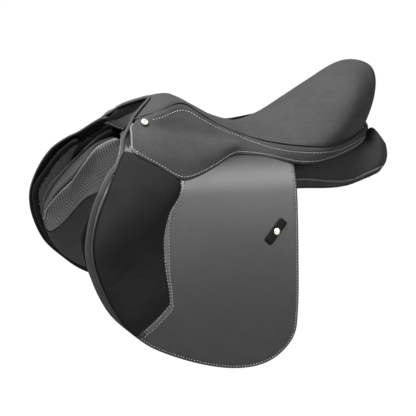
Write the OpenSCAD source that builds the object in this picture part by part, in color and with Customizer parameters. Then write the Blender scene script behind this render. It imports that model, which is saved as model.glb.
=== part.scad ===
/* [Seat] */
// Plan length of the seat on the centre line, pommel edge to back of the cantle
seat_len = 428; // [400:1:460]
// Width of the seat between its side seams, at the widest
seat_w = 244; // [220:1:264]
// Height of the cantle top above the gullet channel
cantle_h = 155; // [140:1:170]
// Distance of the pommel edge ahead of the gullet channel's middle
pommel_ahead = 112; // [100:1:124]
// Thickness of the seat cover
cover_t = 2.5; // [1.5:0.1:4]
// Thickness of the seat foam on the centre line
foam_t = 22; // [16:1:24]
// Thickness of the webbing strips across the tree
webbing_t = 2; // [1:0.1:3]
// Width of one webbing strip
webbing_w = 24; // [18:1:28]
// Wall of the moulded tree
tree_t = 7; // [5:0.5:9]

/* [Flap] */
// Length of the flap along the horse's side
flap_len = 410; // [370:1:440]
// Distance of the flap's front edge ahead of the gullet channel's middle
flap_ahead = 288; // [270:1:300]
// Depth of the flap measured down its curve
flap_drop = 436; // [400:1:470]
// Thickness of the flap
flap_t = 4; // [3:0.1:5]
// Room between the flap and the sweat flap
flap_room = 9; // [8.5:0.1:12]
// Thickness of the sweat flap
sweat_t = 3.5; // [2.5:0.1:4.5]
// Crown of the knee pad above the flap
knee_crown = 13; // [8:0.5:18]

/* [Bed] */
// Half width of the bed that the flaps lie on, at its top edge
bed_half_w = 57; // [52:1:62]
// Height of the top edge of the bed above the gullet channel
bed_h = 64; // [60:1:70]
// Slope of the bed at its top edge, from the vertical
bed_top_angle = 60; // [58:1:62]
// Slope of the bed below the shoulder, from the vertical
bed_low_angle = 18; // [16:1:20]
// Radius of the bed over the shoulder
bed_r = 165; // [155:1:175]
// Radius of the bed along the flap
side_r = 2150; // [1800:10:2600]
// Fall of the bed towards the cantle
bed_fall = 5; // [4:0.5:6]

/* [Skirt] */
// Thickness of the skirt
skirt_t = 4.5; // [3.5:0.1:5]
// Stand of the skirt's lower edge off the bed
skirt_stand = 8; // [7.5:0.1:10]
// Swell of the skirt over the stirrup bar
skirt_swell = 12.5; // [12:0.5:14]

/* [Stirrup bar] */
// Length of the bar
bar_len = 95; // [85:1:105]
// Height of the bar
bar_h = 10; // [8:0.5:12]
// Thickness of the bar
bar_t = 6; // [5:0.1:6.4]
// Room for the stirrup leather between the bar and its plate
leather_room = 6.8; // [6.5:0.1:7]
// Length of the catch beyond its pin
catch_len = 15; // [12:1:16]
// Diameter of the catch pin
pin_d = 4; // [3:0.1:5]
// Diameter of the rivets that hold the bar
rivet_d = 5; // [4:0.1:6]

/* [Panel] */
// Length of a panel
panel_len = 600; // [590:1:615]
// Distance of a panel's front tip ahead of the gullet channel's middle
panel_ahead = 266; // [250:1:280]
// Filling of a panel where it bears most
panel_t = 45; // [38:1:48]

/* [Girth straps] */
// Length of a strap below its webbing
strap_len = 310; // [260:1:330]
// Width of a strap
strap_w = 25; // [22:1:28]
// Thickness of a strap
strap_t = 3.6; // [3:0.1:3.7]
// Distance between the straps at the top
strap_pitch = 42; // [40:1:44]
// Fan of the outer straps
strap_fan = 4; // [3:0.5:5]
// Diameter of the buckle holes
hole_d = 5; // [4:0.1:6]
// Distance between the buckle holes
hole_pitch = 25; // [22:1:28]
// Buckle holes in a strap
hole_n = 8; // [5:1:9]

/* [Studs and keeper] */
// Diameter of the pommel stud's head
seat_stud_d = 13.5; // [10:0.5:14]
// Diameter of the keeper stud's head
keeper_stud_d = 12; // [9:0.5:13]
// Diameter of a stud's shank
shank_d = 4; // [3:0.1:5]
// Length of the keeper
keeper_len = 52; // [46:1:60]
// Width of the keeper
keeper_w = 17; // [14:1:20]
// Thickness of the keeper
keeper_t = 3; // [2:0.1:4]

/* [Hidden] */
$fn = 32;

// Air between two soft pieces, and overrun of every cut
gap = 0.3;
over = 20;
far = 2 * flap_drop;
slack = 0.3;

// Curves through points
function knot(a, b, c, d, t) =
    0.5 * (2 * b + (c - a) * t + (2 * a - 5 * b + 4 * c - d) * t * t + (3 * b - a - 3 * c + d) * t * t * t);
function curve(p, n) = let (m = len(p) - 1)
    [for (i = [0:m - 1]) for (k = [0:n - 1])
        knot(p[max(i - 1, 0)], p[i], p[i + 1], p[min(i + 2, m)], k / n), p[m]];
function loop(p, n) = let (m = len(p))
    [for (i = [0:m - 1]) for (k = [0:n - 1])
        knot(p[(i + m - 1) % m], p[i], p[(i + 1) % m], p[(i + 2) % m], k / n)];
function flip(p) = [p.x, -p.y, p.z];
function unit(v) = v / norm(v);
function between(a, b, t) = a + (b - a) * t;
function column(rows, k) = [for (r = rows) r[k]];

// Bed: a curved surface, straight along the horse and falling towards the cantle.
// A place on it is [distance along it, distance down it, height off it].
bed_turn = bed_r * (bed_top_angle - bed_low_angle) * PI / 180;
shoulder = [bed_half_w - bed_r * cos(bed_top_angle), bed_h - bed_r * sin(bed_top_angle)];
side_mid = shoulder + (bed_r - side_r) * [cos(bed_low_angle), sin(bed_low_angle)];
function bed_angle(q) = q < bed_turn ? bed_top_angle - q / bed_r * 180 / PI
    : bed_low_angle - (q - bed_turn) / side_r * 180 / PI;
function bed_mid(q) = q < bed_turn ? shoulder : side_mid;
function bed_section(q, off) = let (a = bed_angle(q), r = q < bed_turn ? bed_r : side_r)
    bed_mid(q) + (r + off) * [cos(a), sin(a)];
function fall(p) = [p.x * cos(bed_fall) + p.z * sin(bed_fall), p.y, p.z * cos(bed_fall) - p.x * sin(bed_fall)];
function bed_at(p, q, off) = let (s = bed_section(q, off)) fall([p, s.x, s.y]);

// Puts children on the bed: X along it, Y down it, Z out of it
module on_bed(p, q, off) {
    s = bed_section(q, off);
    rotate([0, bed_fall, 0]) translate([p, s.x, s.y]) rotate([bed_angle(q) - 90, 0, 0]) children();
}
// Builds on the right side; the left is its mirror image
module side(right) {
    if (right) children();
    else mirror([0, 1, 0]) children();
}

// Layers on the bed, by the height of their outer faces
sweat_off = -flap_t - flap_room;
panel_air = 2;
panel_off = sweat_off - sweat_t - panel_air;
strap_air = 1.2;
strap_off = sweat_off + strap_air + strap_t;
web_t = 2.5;
web_off = strap_off + gap + web_t;

// Steps down the bed that all layers share, so that their facets nest
bed_step = bed_turn / 10;
side_step = flap_drop / 12;
function bed_steps(q1, q2) = concat([q1],
    [for (k = [-4:10]) if (k * bed_step > q1 && k * bed_step < q2) k * bed_step],
    [for (k = [1:12]) if (bed_turn + k * side_step > q1 && bed_turn + k * side_step < q2) bed_turn + k * side_step],
    [q2]);
// A layer of the bed between two heights, over its whole length
module bed_layer(q1, q2, low, high, front, back) {
    steps = bed_steps(q1, q2);
    outer = [for (q = steps) bed_section(q, high)];
    inner = [for (k = [len(steps) - 1:-1:0]) bed_section(steps[k], low)];
    rotate([0, bed_fall, 0]) translate([front, 0, 0]) rotate([90, 0, 90])
        linear_extrude(back - front) polygon(concat(outer, inner));
}
// A prism across the saddle over an outline given on the bed
module bed_prism(ring, off) {
    rotate([0, bed_fall, 0]) rotate([90, 0, 0]) translate([0, 0, -far])
        linear_extrude(far) polygon([for (p = ring) [p.x, bed_section(p.y, off).y]]);
}
// A sheet cut to an outline and laid on the bed
module bed_sheet(ring, low, high) {
    qs = [for (p = ring) p.y];
    ps = [for (p = ring) p.x];
    intersection() {
        bed_layer(min(qs) - over, max(qs) + over, low, high, min(ps) - over, max(ps) + over);
        bed_prism(ring, high);
    }
}
// A closed wall between two grids of points
module wall(top, bottom, hole = []) {
    r = len(top);
    c = len(top[0]);
    pts = concat([for (row = top) each row], [for (row = bottom) each row]);
    b = r * c;
    function open_cell(i, j) = len(hole) > 0 && i >= hole[0] && i < hole[1] && j >= hole[2] && j < hole[3];
    function quad(w, x, y, z) = [[w, x, y], [w, y, z]];
    skin = [for (i = [0:r - 2]) for (j = [0:c - 2]) if (!open_cell(i, j))
        let (k = i * c + j) each concat(quad(k, k + 1, k + c + 1, k + c), quad(b + k, b + k + c, b + k + c + 1, b + k + 1))];
    rim_j = [for (j = [0:c - 2]) let (k = j, m = (r - 1) * c + j)
        each concat(quad(k + 1, k, b + k, b + k + 1), quad(m, m + 1, b + m + 1, b + m))];
    rim_i = [for (i = [0:r - 2]) let (k = i * c, m = i * c + c - 1)
        each concat(quad(k, k + c, b + k + c, b + k), quad(m + c, m, b + m, b + m + c))];
    hole_j = len(hole) == 0 ? [] : [for (j = [hole[2]:hole[3] - 1]) let (k = hole[0] * c + j, m = hole[1] * c + j)
        each concat(quad(k, k + 1, b + k + 1, b + k), quad(m + 1, m, b + m, b + m + 1))];
    hole_i = len(hole) == 0 ? [] : [for (i = [hole[0]:hole[1] - 1]) let (k = i * c + hole[2], m = i * c + hole[3])
        each concat(quad(k + c, k, b + k, b + k + c), quad(m, m + c, b + m + c, b + m))];
    polyhedron(pts, concat(skin, rim_j, rim_i, hole_j, hole_i), convexity = 8);
}
// A closed body through rings of points
module tube(rings) {
    r = len(rings);
    c = len(rings[0]);
    sides = [for (i = [0:r - 2]) for (j = [0:c - 1])
        let (k = i * c + j, m = i * c + (j + 1) % c) each [[k, m + c, k + c], [k, m, m + c]]];
    front = [for (j = [1:c - 2]) [0, j + 1, j]];
    back = [for (j = [1:c - 2]) let (e = (r - 1) * c) [e, e + j, e + j + 1]];
    polyhedron([for (ring = rings) each ring], concat(sides, front, back), convexity = 8);
}

// Seat: centre line and side seam, station by station from pommel to cantle
profile_shares = [[0, 0.772], [0.047, 0.813], [0.107, 0.777], [0.192, 0.632], [0.271, 0.516], [0.355, 0.432],
    [0.439, 0.388], [0.53, 0.406], [0.636, 0.495], [0.741, 0.632], [0.841, 0.816], [0.935, 0.994],
    [1.02, 0.916], [1.053, 0.723], [1.022, 0.465], [0.99, 0.232]];
seam_shares = [[-0.093, 0.414, 0.668], [0, 0.361, 0.703], [0.107, 0.262, 0.735], [0.187, 0.344, 0.594],
    [0.262, 0.41, 0.452], [0.346, 0.516, 0.348], [0.416, 0.672, 0.297], [0.495, 0.836, 0.265],
    [0.589, 0.959, 0.239], [0.678, 1, 0.213], [0.757, 0.943, 0.206], [0.822, 0.82, 0.206],
    [0.874, 0.672, 0.206], [0.916, 0.541, 0.213], [0.944, 0.434, 0.213], [0.963, 0.344, 0.219]];
seat_steps = 2;
seat_fans = 6;
edge_share = 0.35;
drop_share = 0.5;
seat_unit = [seat_len, seat_w / 2, cantle_h];
function seat_place(s) = [s.x * seat_unit.x - pommel_ahead, s.y * seat_unit.y, s.z * seat_unit.z];
profile = [for (s = profile_shares) seat_place([s.x, 0, s.y])];
seam = [for (s = seam_shares) seat_place(s)];
last = len(profile) - 1;
function inward(k) = let (t = unit(profile[min(k + 1, last)] - profile[max(k - 1, 0)])) [t.z, 0, -t.x];
function seat_mid(d) = [for (k = [0:last]) profile[k] + inward(k) * d];
function seat_edge(d) = [for (s = seam) s - [0, edge_share * d, drop_share * d]];
function seat_arc(c, e, a) = [between(e.x, c.x, cos(a)), e.y * sin(a), between(e.z, c.z, cos(a))];
function seat_grid(d) = let (mid = curve(seat_mid(d), seat_steps), edge = curve(seat_edge(d), seat_steps))
    [for (i = [0:len(mid) - 1]) [for (j = [-seat_fans:seat_fans])
        let (p = seat_arc(mid[i], edge[i], 90 * abs(j) / seat_fans)) j < 0 ? flip(p) : p]];
foam_in = cover_t + gap;
webbing_air = 1.5;
webbing_in = foam_in + foam_t + webbing_air;
tree_in = webbing_in + webbing_t + webbing_air;

module seat_cover() {
    color("dimgray") wall(seat_grid(0), seat_grid(cover_t));
}
module seat_foam() {
    color("khaki") wall(seat_grid(foam_in), seat_grid(foam_in + foam_t));
}
// Two strips of webbing side by side, from the head to the cantle
webbing_first = 3;
webbing_last = 10;
function webbing_grid(d) = let (mid = curve(seat_mid(d), seat_steps), edge = curve(seat_edge(d), seat_steps))
    [for (i = [webbing_first * seat_steps:webbing_last * seat_steps])
        [for (y = [gap, gap + webbing_w]) seat_arc(mid[i], edge[i], asin(min(y / edge[i].y, 1)))]];
module seat_webbing() {
    color("beige") for (right = [false, true]) side(right)
        wall(webbing_grid(webbing_in), webbing_grid(webbing_in + webbing_t));
}

// Tree: a moulded shell from the head to the cantle, with side rails on the bed and an open waist
plate_t = 4;
rail_off = -flap_t - plate_t - 2 * gap;
rail_q = 58;
bow_q_shares = [0.3, 0.3, 0.3, 0.36, 0.5, 0.68, 0.78, 0.85];
rail_ahead_shares = [0.06, 0.02, 0.01, 0, 0, 0, 0, 0.02];
rail_last = len(bow_q_shares) - 1;
rear_rail_shares = [0.8, 0.6];
rear_bow_shares = [0.62, 0.4];
tree_last = last - 1;
function rail_p(k) = profile[k].x - rail_ahead_shares[k] * seat_len;
function tree_rail(k, d) = k <= rail_last ? bed_at(rail_p(k), rail_q, rail_off - d)
    : [seam[k].x - d, rear_rail_shares.x * seam[k].y - d, rear_rail_shares.y * seam[k].z - d / 2];
function tree_bow(k, d, mid, rail) = k <= rail_last ? bed_at(rail_p(k), bow_q_shares[k] * rail_q, rail_off - d)
    : [between(mid.x, rail.x, rear_bow_shares.x), rear_bow_shares.x * rail.y, between(mid.z, rail.z, rear_bow_shares.y)];
function tree_side(k, d, bow, rail, r) = k > rail_last ? between(bow, rail, r)
    : bed_at(rail_p(k), between(bow_q_shares[k], 1, r) * rail_q, rail_off - d);
function tree_half(k, d, fans) = let (mid = seat_mid(tree_in + d)[k], rail = tree_rail(k, d), bow = tree_bow(k, d, mid, rail))
    concat([for (j = [0:fans - 1]) knot(flip(bow), mid, bow, rail, j / fans)],
        [for (j = [0:fans]) tree_side(k, d, bow, rail, j / fans)]);
function tree_grid(d, fans) = [for (k = [0:tree_last]) let (half = tree_half(k, d, fans))
    concat([for (j = [2 * fans:-1:1]) flip(half[j])], half)];
tree_fans = 3;
waist_hole = [4, 9, 2 * tree_fans - 1, 2 * tree_fans + 1];
screw_d = 5;
screw_q_shares = [0.5, 0.85];
module screw_places() {
    p = (rail_p(0) + rail_p(1)) / 2;
    for (share = screw_q_shares) on_bed(p, share * rail_q, 0) children();
}
module tree() {
    color("saddlebrown") difference() {
        wall(tree_grid(0, tree_fans), tree_grid(tree_t, tree_fans), waist_hole);
        for (right = [false, true]) side(right) {
            rivet_places() cylinder(d = rivet_d + slack, h = 2 * over, center = true);
            screw_places() cylinder(d = screw_d + slack, h = 2 * over, center = true);
        }
    }
}
plate_in = tree_t + gap;
module gullet_plate() {
    top = tree_grid(plate_in, tree_fans);
    bottom = tree_grid(plate_in + plate_t, tree_fans);
    color("silver") difference() {
        wall([top[0], top[1]], [bottom[0], bottom[1]]);
        for (right = [false, true]) side(right)
            screw_places() cylinder(d = screw_d + slack, h = far / 2, center = true);
    }
}
module gullet_screws() {
    color("gray") for (right = [false, true]) side(right) screw_places()
        translate([0, 0, rail_off - plate_in - plate_t - gap]) cylinder(d = screw_d, h = plate_in + plate_t);
}

// Stirrup bar: a plate on the tree, an arm through the flap root and an open bar outside it
bar_p = -148;
bar_q = 36;
bar_off = leather_room - flap_t - gap;
window_air = 3;
arm_w = 12;
lap_air = 2;
lap = bar_h + lap_air;
pin_x = bar_len - lap / 2;
bar_rivet_shares = [0.25, 0.75];
bar_top = bar_off + bar_t;
bar_half = bar_off + bar_t / 2;
module bar_profile() {
    plate_top = -flap_t - gap;
    polygon([[0, plate_top - plate_t], [bar_len, plate_top - plate_t], [bar_len, plate_top], [arm_w, plate_top],
        [arm_w, bar_off], [bar_len, bar_off], [bar_len, bar_half], [bar_len - lap, bar_half],
        [bar_len - lap, bar_top], [0, bar_top]]);
}
module rivet_places() {
    for (share = bar_rivet_shares) on_bed(bar_p + share * bar_len, bar_q, 0) children();
}
module pin_place() {
    on_bed(bar_p + pin_x, bar_q, 0) children();
}
module stirrup_bar() {
    color("silver") difference() {
        on_bed(bar_p, bar_q, 0) rotate([90, 0, 0]) translate([0, 0, -bar_h / 2]) linear_extrude(bar_h) bar_profile();
        rivet_places() translate([0, 0, -over]) cylinder(d = rivet_d + slack, h = over);
        pin_place() cylinder(d = pin_d + slack / 2, h = over);
    }
}
module bar_rivets() {
    color("gray") for (right = [false, true]) side(right) rivet_places()
        translate([0, 0, rail_off - tree_t]) cylinder(d = rivet_d, h = tree_t + plate_t + gap);
}
module catch() {
    color("silver") difference() {
        pin_place() translate([0, 0, bar_half + gap]) linear_extrude(bar_t / 2 - gap) {
            circle(d = bar_h);
            translate([0, -bar_h / 2]) square([catch_len, bar_h]);
            translate([catch_len, 0]) circle(d = bar_h);
        }
        pin_place() cylinder(d = pin_d + slack, h = over);
    }
}
module catch_pins() {
    color("gray") for (right = [false, true]) side(right) pin_place()
        translate([0, 0, bar_off]) cylinder(d = pin_d, h = bar_t);
}

// Line on which the skirt bends, from its front to its rear, and its height off the bed at these ends
function flap_place(s) = [s.x * flap_len - flap_ahead, s.y * flap_drop];
axis_shares = [[0.2691, -0.0103], [0.728, 0.0571]];
axis_stand = [18.7, 3.95];
axis_ends = [for (k = [0, 1]) let (f = flap_place(axis_shares[k])) bed_at(f.x, f.y, axis_stand[k])];
function on_axis(share) = between(axis_ends[0], axis_ends[1], share);

// Skirt: fixed band above the axis and round the cantle, lifting leaf below the axis
band_shares = [[-0.058, 0.324, -0.104], [-0.014, 0.22, -0.116], [-0.02, 0.115, -0.143], [-0.037, 0.045, -0.18],
    [-0.042, 0.041, -0.17], [-0.028, 0.057, -0.136], [-0.019, 0.082, -0.116], [-0.005, 0.09, -0.109],
    [0.009, 0.049, -0.109], [0.019, 0.008, -0.102], [0.028, -0.033, -0.109]];
axis_seam_shares = [0, 0.24, 0.5, 0.7, 0.86, 1];
axis_last = len(axis_seam_shares) - 1;
// Offsets a point outwards from the seat, square to a chord that runs down and out
function chord_out(a, b) = let (v = b - a) unit([0, -v.z, v.y]);
function drape(a, b, cols, swell, off) = [for (j = [0:cols]) let (r = j / cols)
    a + (b - a) * r + chord_out(a, b) * (4 * r * (1 - r) * swell + off)];
band_low_front = [for (k = [0:axis_last]) on_axis(axis_seam_shares[k])];
band_low_rear = [for (k = [0:len(band_shares) - 1]) let (s = band_shares[k])
    seam[axis_last + k] + [s.x * seat_unit.x, s.y * seat_unit.y, s.z * seat_unit.z]];
band_swell = 2;
band_low = concat(band_low_front, [for (k = [1:len(band_low_rear) - 1]) band_low_rear[k]]);
band_top = [for (k = [0:last]) seam[k] + chord_out(seam[k], band_low[k]) * (skirt_t + 8 * gap) - [0, 0, 4 * gap]];
band_back = profile[last].x - band_top[last].x;
function band_rows(off) = let (
    front_top = curve([for (k = [0:axis_last]) band_top[k]], 2),
    front_low = curve(band_low_front, 2),
    rear_top = curve([for (k = [axis_last:last]) band_top[k]], 2),
    rear_low = curve(band_low_rear, 2),
    back_top = band_top[last] + [band_back, gap - band_top[last].y, 0],
    back_low = band_low[last] + [band_back, gap - band_low[last].y, 0])
    concat([for (i = [0:len(front_top) - 1]) drape(front_top[i], front_low[i], 3, band_swell, off)],
        [for (i = [1:len(rear_top) - 1]) drape(rear_top[i], rear_low[i], 3, band_swell, off)],
        [[for (p = drape(back_top, back_low, 3, 0, 0)) p + [band_swell + off, 0, 0]]]);
module skirt_band() {
    color("dimgray") difference() {
        wall(band_rows(0), band_rows(-skirt_t));
        stud_place() cylinder(d = shank_d + slack, h = 2 * over, center = true);
    }
}
skirt_edge_shares = [[0.254, 0.099], [0.276, 0.115], [0.324, 0.142], [0.378, 0.177], [0.42, 0.204], [0.466, 0.218],
    [0.534, 0.202], [0.593, 0.179], [0.656, 0.149], [0.717, 0.119]];
hinge_air = 2.2;
skirt_edge = [for (s = skirt_edge_shares) flap_place(s)];
function skirt_rows(off) = let (
    n = len(skirt_edge) - 1,
    low = curve([for (e = skirt_edge) bed_at(e.x, e.y, skirt_stand)], 2),
    run = curve([for (e = skirt_edge) (e.x - skirt_edge[0].x) / (skirt_edge[n].x - skirt_edge[0].x)], 2))
    [for (i = [0:len(low) - 1]) let (h = on_axis(run[i] * (1 - hinge_air / norm(axis_ends[1] - axis_ends[0]))),
        top = h + unit(low[i] - h) * hinge_air)
        drape(top, low[i], 4, skirt_swell, off)];
module skirt() {
    color("dimgray") wall(skirt_rows(0), skirt_rows(-skirt_t));
}

// Pommel stud, driven through the band
stud_air = 1;
stud_seam_share = 0.52;
stud_drop_share = 0.66;
stud_top = knot(band_top[0], band_top[0], band_top[1], band_top[2], stud_seam_share);
stud_low = knot(band_low[0], band_low[0], band_low[1], band_low[2], stud_seam_share);
stud_out = chord_out(stud_top, stud_low);
stud_at = between(stud_top, stud_low, stud_drop_share) + stud_out * band_swell;
module stud_place() {
    translate(stud_at) rotate([-atan2(stud_out.y, stud_out.z), 0, 0]) children();
}
// A domed head on a straight shank, seated on the XY plane
module stud(head_d, shank_len) {
    head_h = head_d / 4;
    rim_h = head_h / 3;
    dome_h = head_h - rim_h;
    dome_r = (dome_h * dome_h + head_d * head_d / 4) / (2 * dome_h);
    translate([0, 0, -shank_len]) cylinder(d = shank_d, h = shank_len + rim_h);
    cylinder(d = head_d, h = rim_h);
    intersection() {
        translate([0, 0, head_h - dome_r]) sphere(r = dome_r);
        translate([0, 0, rim_h]) cylinder(d = head_d, h = head_h);
    }
}
module seat_stud() {
    color("gainsboro") stud_place() translate([0, 0, stud_air]) stud(seat_stud_d, skirt_t + stud_air);
}

// Pommel facing: a lined cove under the pommel edge
facing_t = 3;
facing_top_shares = [[-0.012, 0, 0.745], [-0.036, 0.16, 0.728], [-0.076, 0.275, 0.685], [-0.11, 0.33, 0.635],
    [-0.138, 0.335, 0.585], [-0.165, 0.32, 0.54]];
facing_low_shares = [[-0.065, 0, 0.38], [-0.07, 0.12, 0.38], [-0.09, 0.21, 0.395], [-0.12, 0.275, 0.425],
    [-0.145, 0.302, 0.455], [-0.17, 0.312, 0.488]];
function facing_half(back) = let (
    top = curve([for (s = facing_top_shares) seat_place(s) + [back, 0, 0]], 2),
    low = curve([for (s = facing_low_shares) seat_place(s) + [back, 0, 0]], 2))
    [for (i = [0:len(top) - 1]) [for (r = [0, 0.5, 1]) top[i] + (low[i] - top[i]) * r]];
function facing_rows(back) = let (half = facing_half(back), n = len(half) - 1)
    concat([for (i = [n:-1:1]) [for (p = half[i]) flip(p)]], half);
module pommel_facing() {
    color("black") wall(facing_rows(0), facing_rows(facing_t));
}

// Panel: a flocked cushion, drawn from front tongue to rear end through six edges on the bed
panel_run_shares = [0, 0.026, 0.067, 0.124, 0.165, 0.206, 0.337, 0.5, 0.663, 0.827, 0.934, 0.97, 1];
// Each edge: distance down the bed as a share of the flap, depth under the panel's face as a share of the filling
panel_face_shares = [[0.493, 0], [0.41, 0], [0.32, 0], [0.2, 0], [0.155, 0], [0.165, 0], [0.16, 0], [0.15, 0], [0.14, 0],
    [0.115, -0.23], [0.094, -0.22], [0.079, -0.25], [0.086, 0.08]];
panel_side_shares = [[0.532, 0], [0.585, 0], [0.55, 0], [0.436, 0], [0.4, 0], [0.36, 0], [0.3, 0], [0.257, 0.02],
    [0.232, 0.08], [0.238, 0.15], [0.192, -0.12], [0.171, -0.11], [0.135, 0.1]];
panel_hem_shares = [[0.562, 0.07], [0.64, 0.07], [0.606, 0.09], [0.489, 0.11], [0.45, 0.13], [0.413, 0.13],
    [0.344, 0.16], [0.298, 0.25], [0.275, 0.45], [0.27, 0.65], [0.228, 0.41], [0.207, 0.43], [0.156, 0.4]];
panel_bear_shares = [[0.55, 0.2], [0.53, 0.33], [0.46, 0.42], [0.33, 0.51], [0.28, 0.56], [0.24, 0.6], [0.206, 0.69],
    [0.19, 0.8], [0.21, 1.05], [0.25, 1.22], [0.231, 1.16], [0.203, 1.03], [0.142, 0.71]];
panel_gullet_shares = [[0.516, 0.2], [0.424, 0.33], [0.34, 0.42], [0.2, 0.56], [0.075, 0.65], [0.08, 0.77],
    [0.064, 0.87], [0.06, 0.96], [0.064, 1], [0.069, 1.05], [0.065, 1.09], [0.065, 0.91], [0.074, 0.64]];
panel_roof_shares = [[0.493, 0.13], [0.399, 0.16], [0.307, 0.2], [0.165, 0.26], [0.05, 0.32], [0.055, 0.45],
    [0.028, 0.48], [0.018, 0.55], [0.018, 0.45], [0.023, 0.38], [0.011, 0.23], [0, 0.07], [0.048, 0.34]];
panel_edges = [panel_face_shares, panel_side_shares, panel_hem_shares, panel_bear_shares, panel_gullet_shares,
    panel_roof_shares];
function panel_station(k) = [for (e = panel_edges)
    bed_at(panel_run_shares[k] * panel_len - panel_ahead, e[k].x * flap_drop, panel_off - e[k].y * panel_t)];
module panel() {
    stations = [for (k = [0:len(panel_run_shares) - 1]) panel_station(k)];
    rails = [for (j = [0:len(panel_edges) - 1]) curve(column(stations, j), 2)];
    rings = [for (i = [0:len(rails[0]) - 1]) loop([for (j = [0:len(rails) - 1]) rails[j][i]], 3)];
    color("black") tube(rings);
}

// Flaps, knee pads and knee blocks, cut flat and laid on the bed
flap_shares = [[0.227, 0], [0.168, 0.106], [0.117, 0.17], [0.068, 0.243], [0.034, 0.317], [0.006, 0.415],
    [0.002, 0.5], [0.029, 0.608], [0.095, 0.727], [0.188, 0.814], [0.312, 0.892], [0.522, 0.968],
    [0.712, 1], [0.856, 0.972], [0.959, 0.883], [0.985, 0.759], [0.993, 0.55], [0.998, 0.321]];
flap_top_shares = [[0.998, 0.151], [0.85, 0.103], [0.7, 0.064], [0.45, 0.028]];
root_shares = [[0.24, -0.02], [0.227, 0], [0.168, 0.106], [0.15, 0.14], [0.45, 0.16], [0.7, 0.2], [0.998, 0.25],
    [0.998, 0.13], [0.895, 0.105], [0.8, 0.085], [0.7, 0.062], [0.556, 0.018], [0.36, 0], [0.27, -0.02]];
sweat_shares = [[0.293, 0.05], [0.263, 0.092], [0.193, 0.229], [0.078, 0.385], [0.054, 0.445], [0.044, 0.507],
    [0.054, 0.562], [0.1, 0.667], [0.144, 0.729], [0.195, 0.78], [0.317, 0.851], [0.507, 0.9], [0.702, 0.922],
    [0.837, 0.908], [0.927, 0.837], [0.951, 0.711], [0.956, 0.46], [0.956, 0.252]];
sweat_top_shares = [[0.95, 0.175], [0.85, 0.154], [0.356, 0.154], [0.325, 0.09]];
block_shares = [[0.085, 0.245], [0.037, 0.335], [0.001, 0.42], [0.012, 0.51], [0.05, 0.61], [0.115, 0.71],
    [0.19, 0.765], [0.2, 0.7], [0.165, 0.62], [0.145, 0.53], [0.14, 0.44], [0.155, 0.34], [0.16, 0.27]];
knee_shares = [[0.193, 0.094], [0.241, 0.096], [0.305, 0.122], [0.366, 0.158], [0.415, 0.193], [0.437, 0.222],
    [0.439, 0.25], [0.424, 0.289], [0.383, 0.351], [0.361, 0.433], [0.359, 0.502], [0.363, 0.573], [0.373, 0.654],
    [0.373, 0.702], [0.354, 0.725], [0.29, 0.778], [0.222, 0.823], [0.188, 0.81], [0.134, 0.75], [0.093, 0.674],
    [0.059, 0.594], [0.039, 0.514], [0.037, 0.436], [0.054, 0.36], [0.083, 0.282], [0.127, 0.197]];
knee_mid_share = [0.22, 0.46];
keeper_share = [0.887, 0.445];
keeper_turn = -49;
function cut_out(shares, n) = curve([for (s = shares) flap_place(s)], n);
function straight(shares) = [for (s = shares) flap_place(s)];
// Line on which the flap bends, under the stirrup bar, at the front and the rear
bend_shares = [[0.1, 0.067], [1.02, 0.176]];
cut_air = 0.6;
keeper_at = flap_place(keeper_share);

// Everything on one side of the bend, across the saddle: above it with a positive air, else below it
module bend_half(air) {
    line = [for (b = bend_shares) let (f = flap_place(b)) [f.x, bed_section(f.y, 0).y + air / 2]];
    along = unit(line[1] - line[0]) * far;
    up = [0, sign(air) * far];
    rotate([0, bed_fall, 0]) rotate([90, 0, 0]) translate([0, 0, -far])
        linear_extrude(far) polygon([line[0] - along, line[1] + along, line[1] + along + up, line[0] - along + up]);
}
// Window in the flap for the stirrup bar and its leather
module bar_window() {
    on_bed(bar_p + bar_len / 2, bar_q, 0) translate([0, bar_h, 0])
        cube([bar_len + 2 * window_air, 3 * bar_h + 2 * window_air, 2 * over], center = true);
}
module keeper_place() {
    on_bed(keeper_at.x, keeper_at.y, 0) rotate([0, 0, keeper_turn]) children();
}
module flap() {
    color("dimgray") difference() {
        intersection() {
            bed_sheet(concat(cut_out(flap_shares, 3), straight(flap_top_shares)), -flap_t, 0);
            bend_half(-cut_air);
        }
        keeper_place() cylinder(d = shank_d + slack, h = 2 * over, center = true);
        bar_window();
    }
}
module flap_root() {
    color("dimgray") difference() {
        intersection() {
            bed_sheet(straight(root_shares), -flap_t, 0);
            bend_half(cut_air);
        }
        bar_window();
    }
}
module sweat_flap() {
    color("black") bed_sheet(concat(cut_out(sweat_shares, 3), straight(sweat_top_shares)), sweat_off - sweat_t, sweat_off);
}
module knee_block() {
    block_air = 1;
    color("black") bed_sheet(loop([for (s = block_shares) flap_place(s)], 2), sweat_off + gap, -flap_t - block_air);
}
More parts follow.
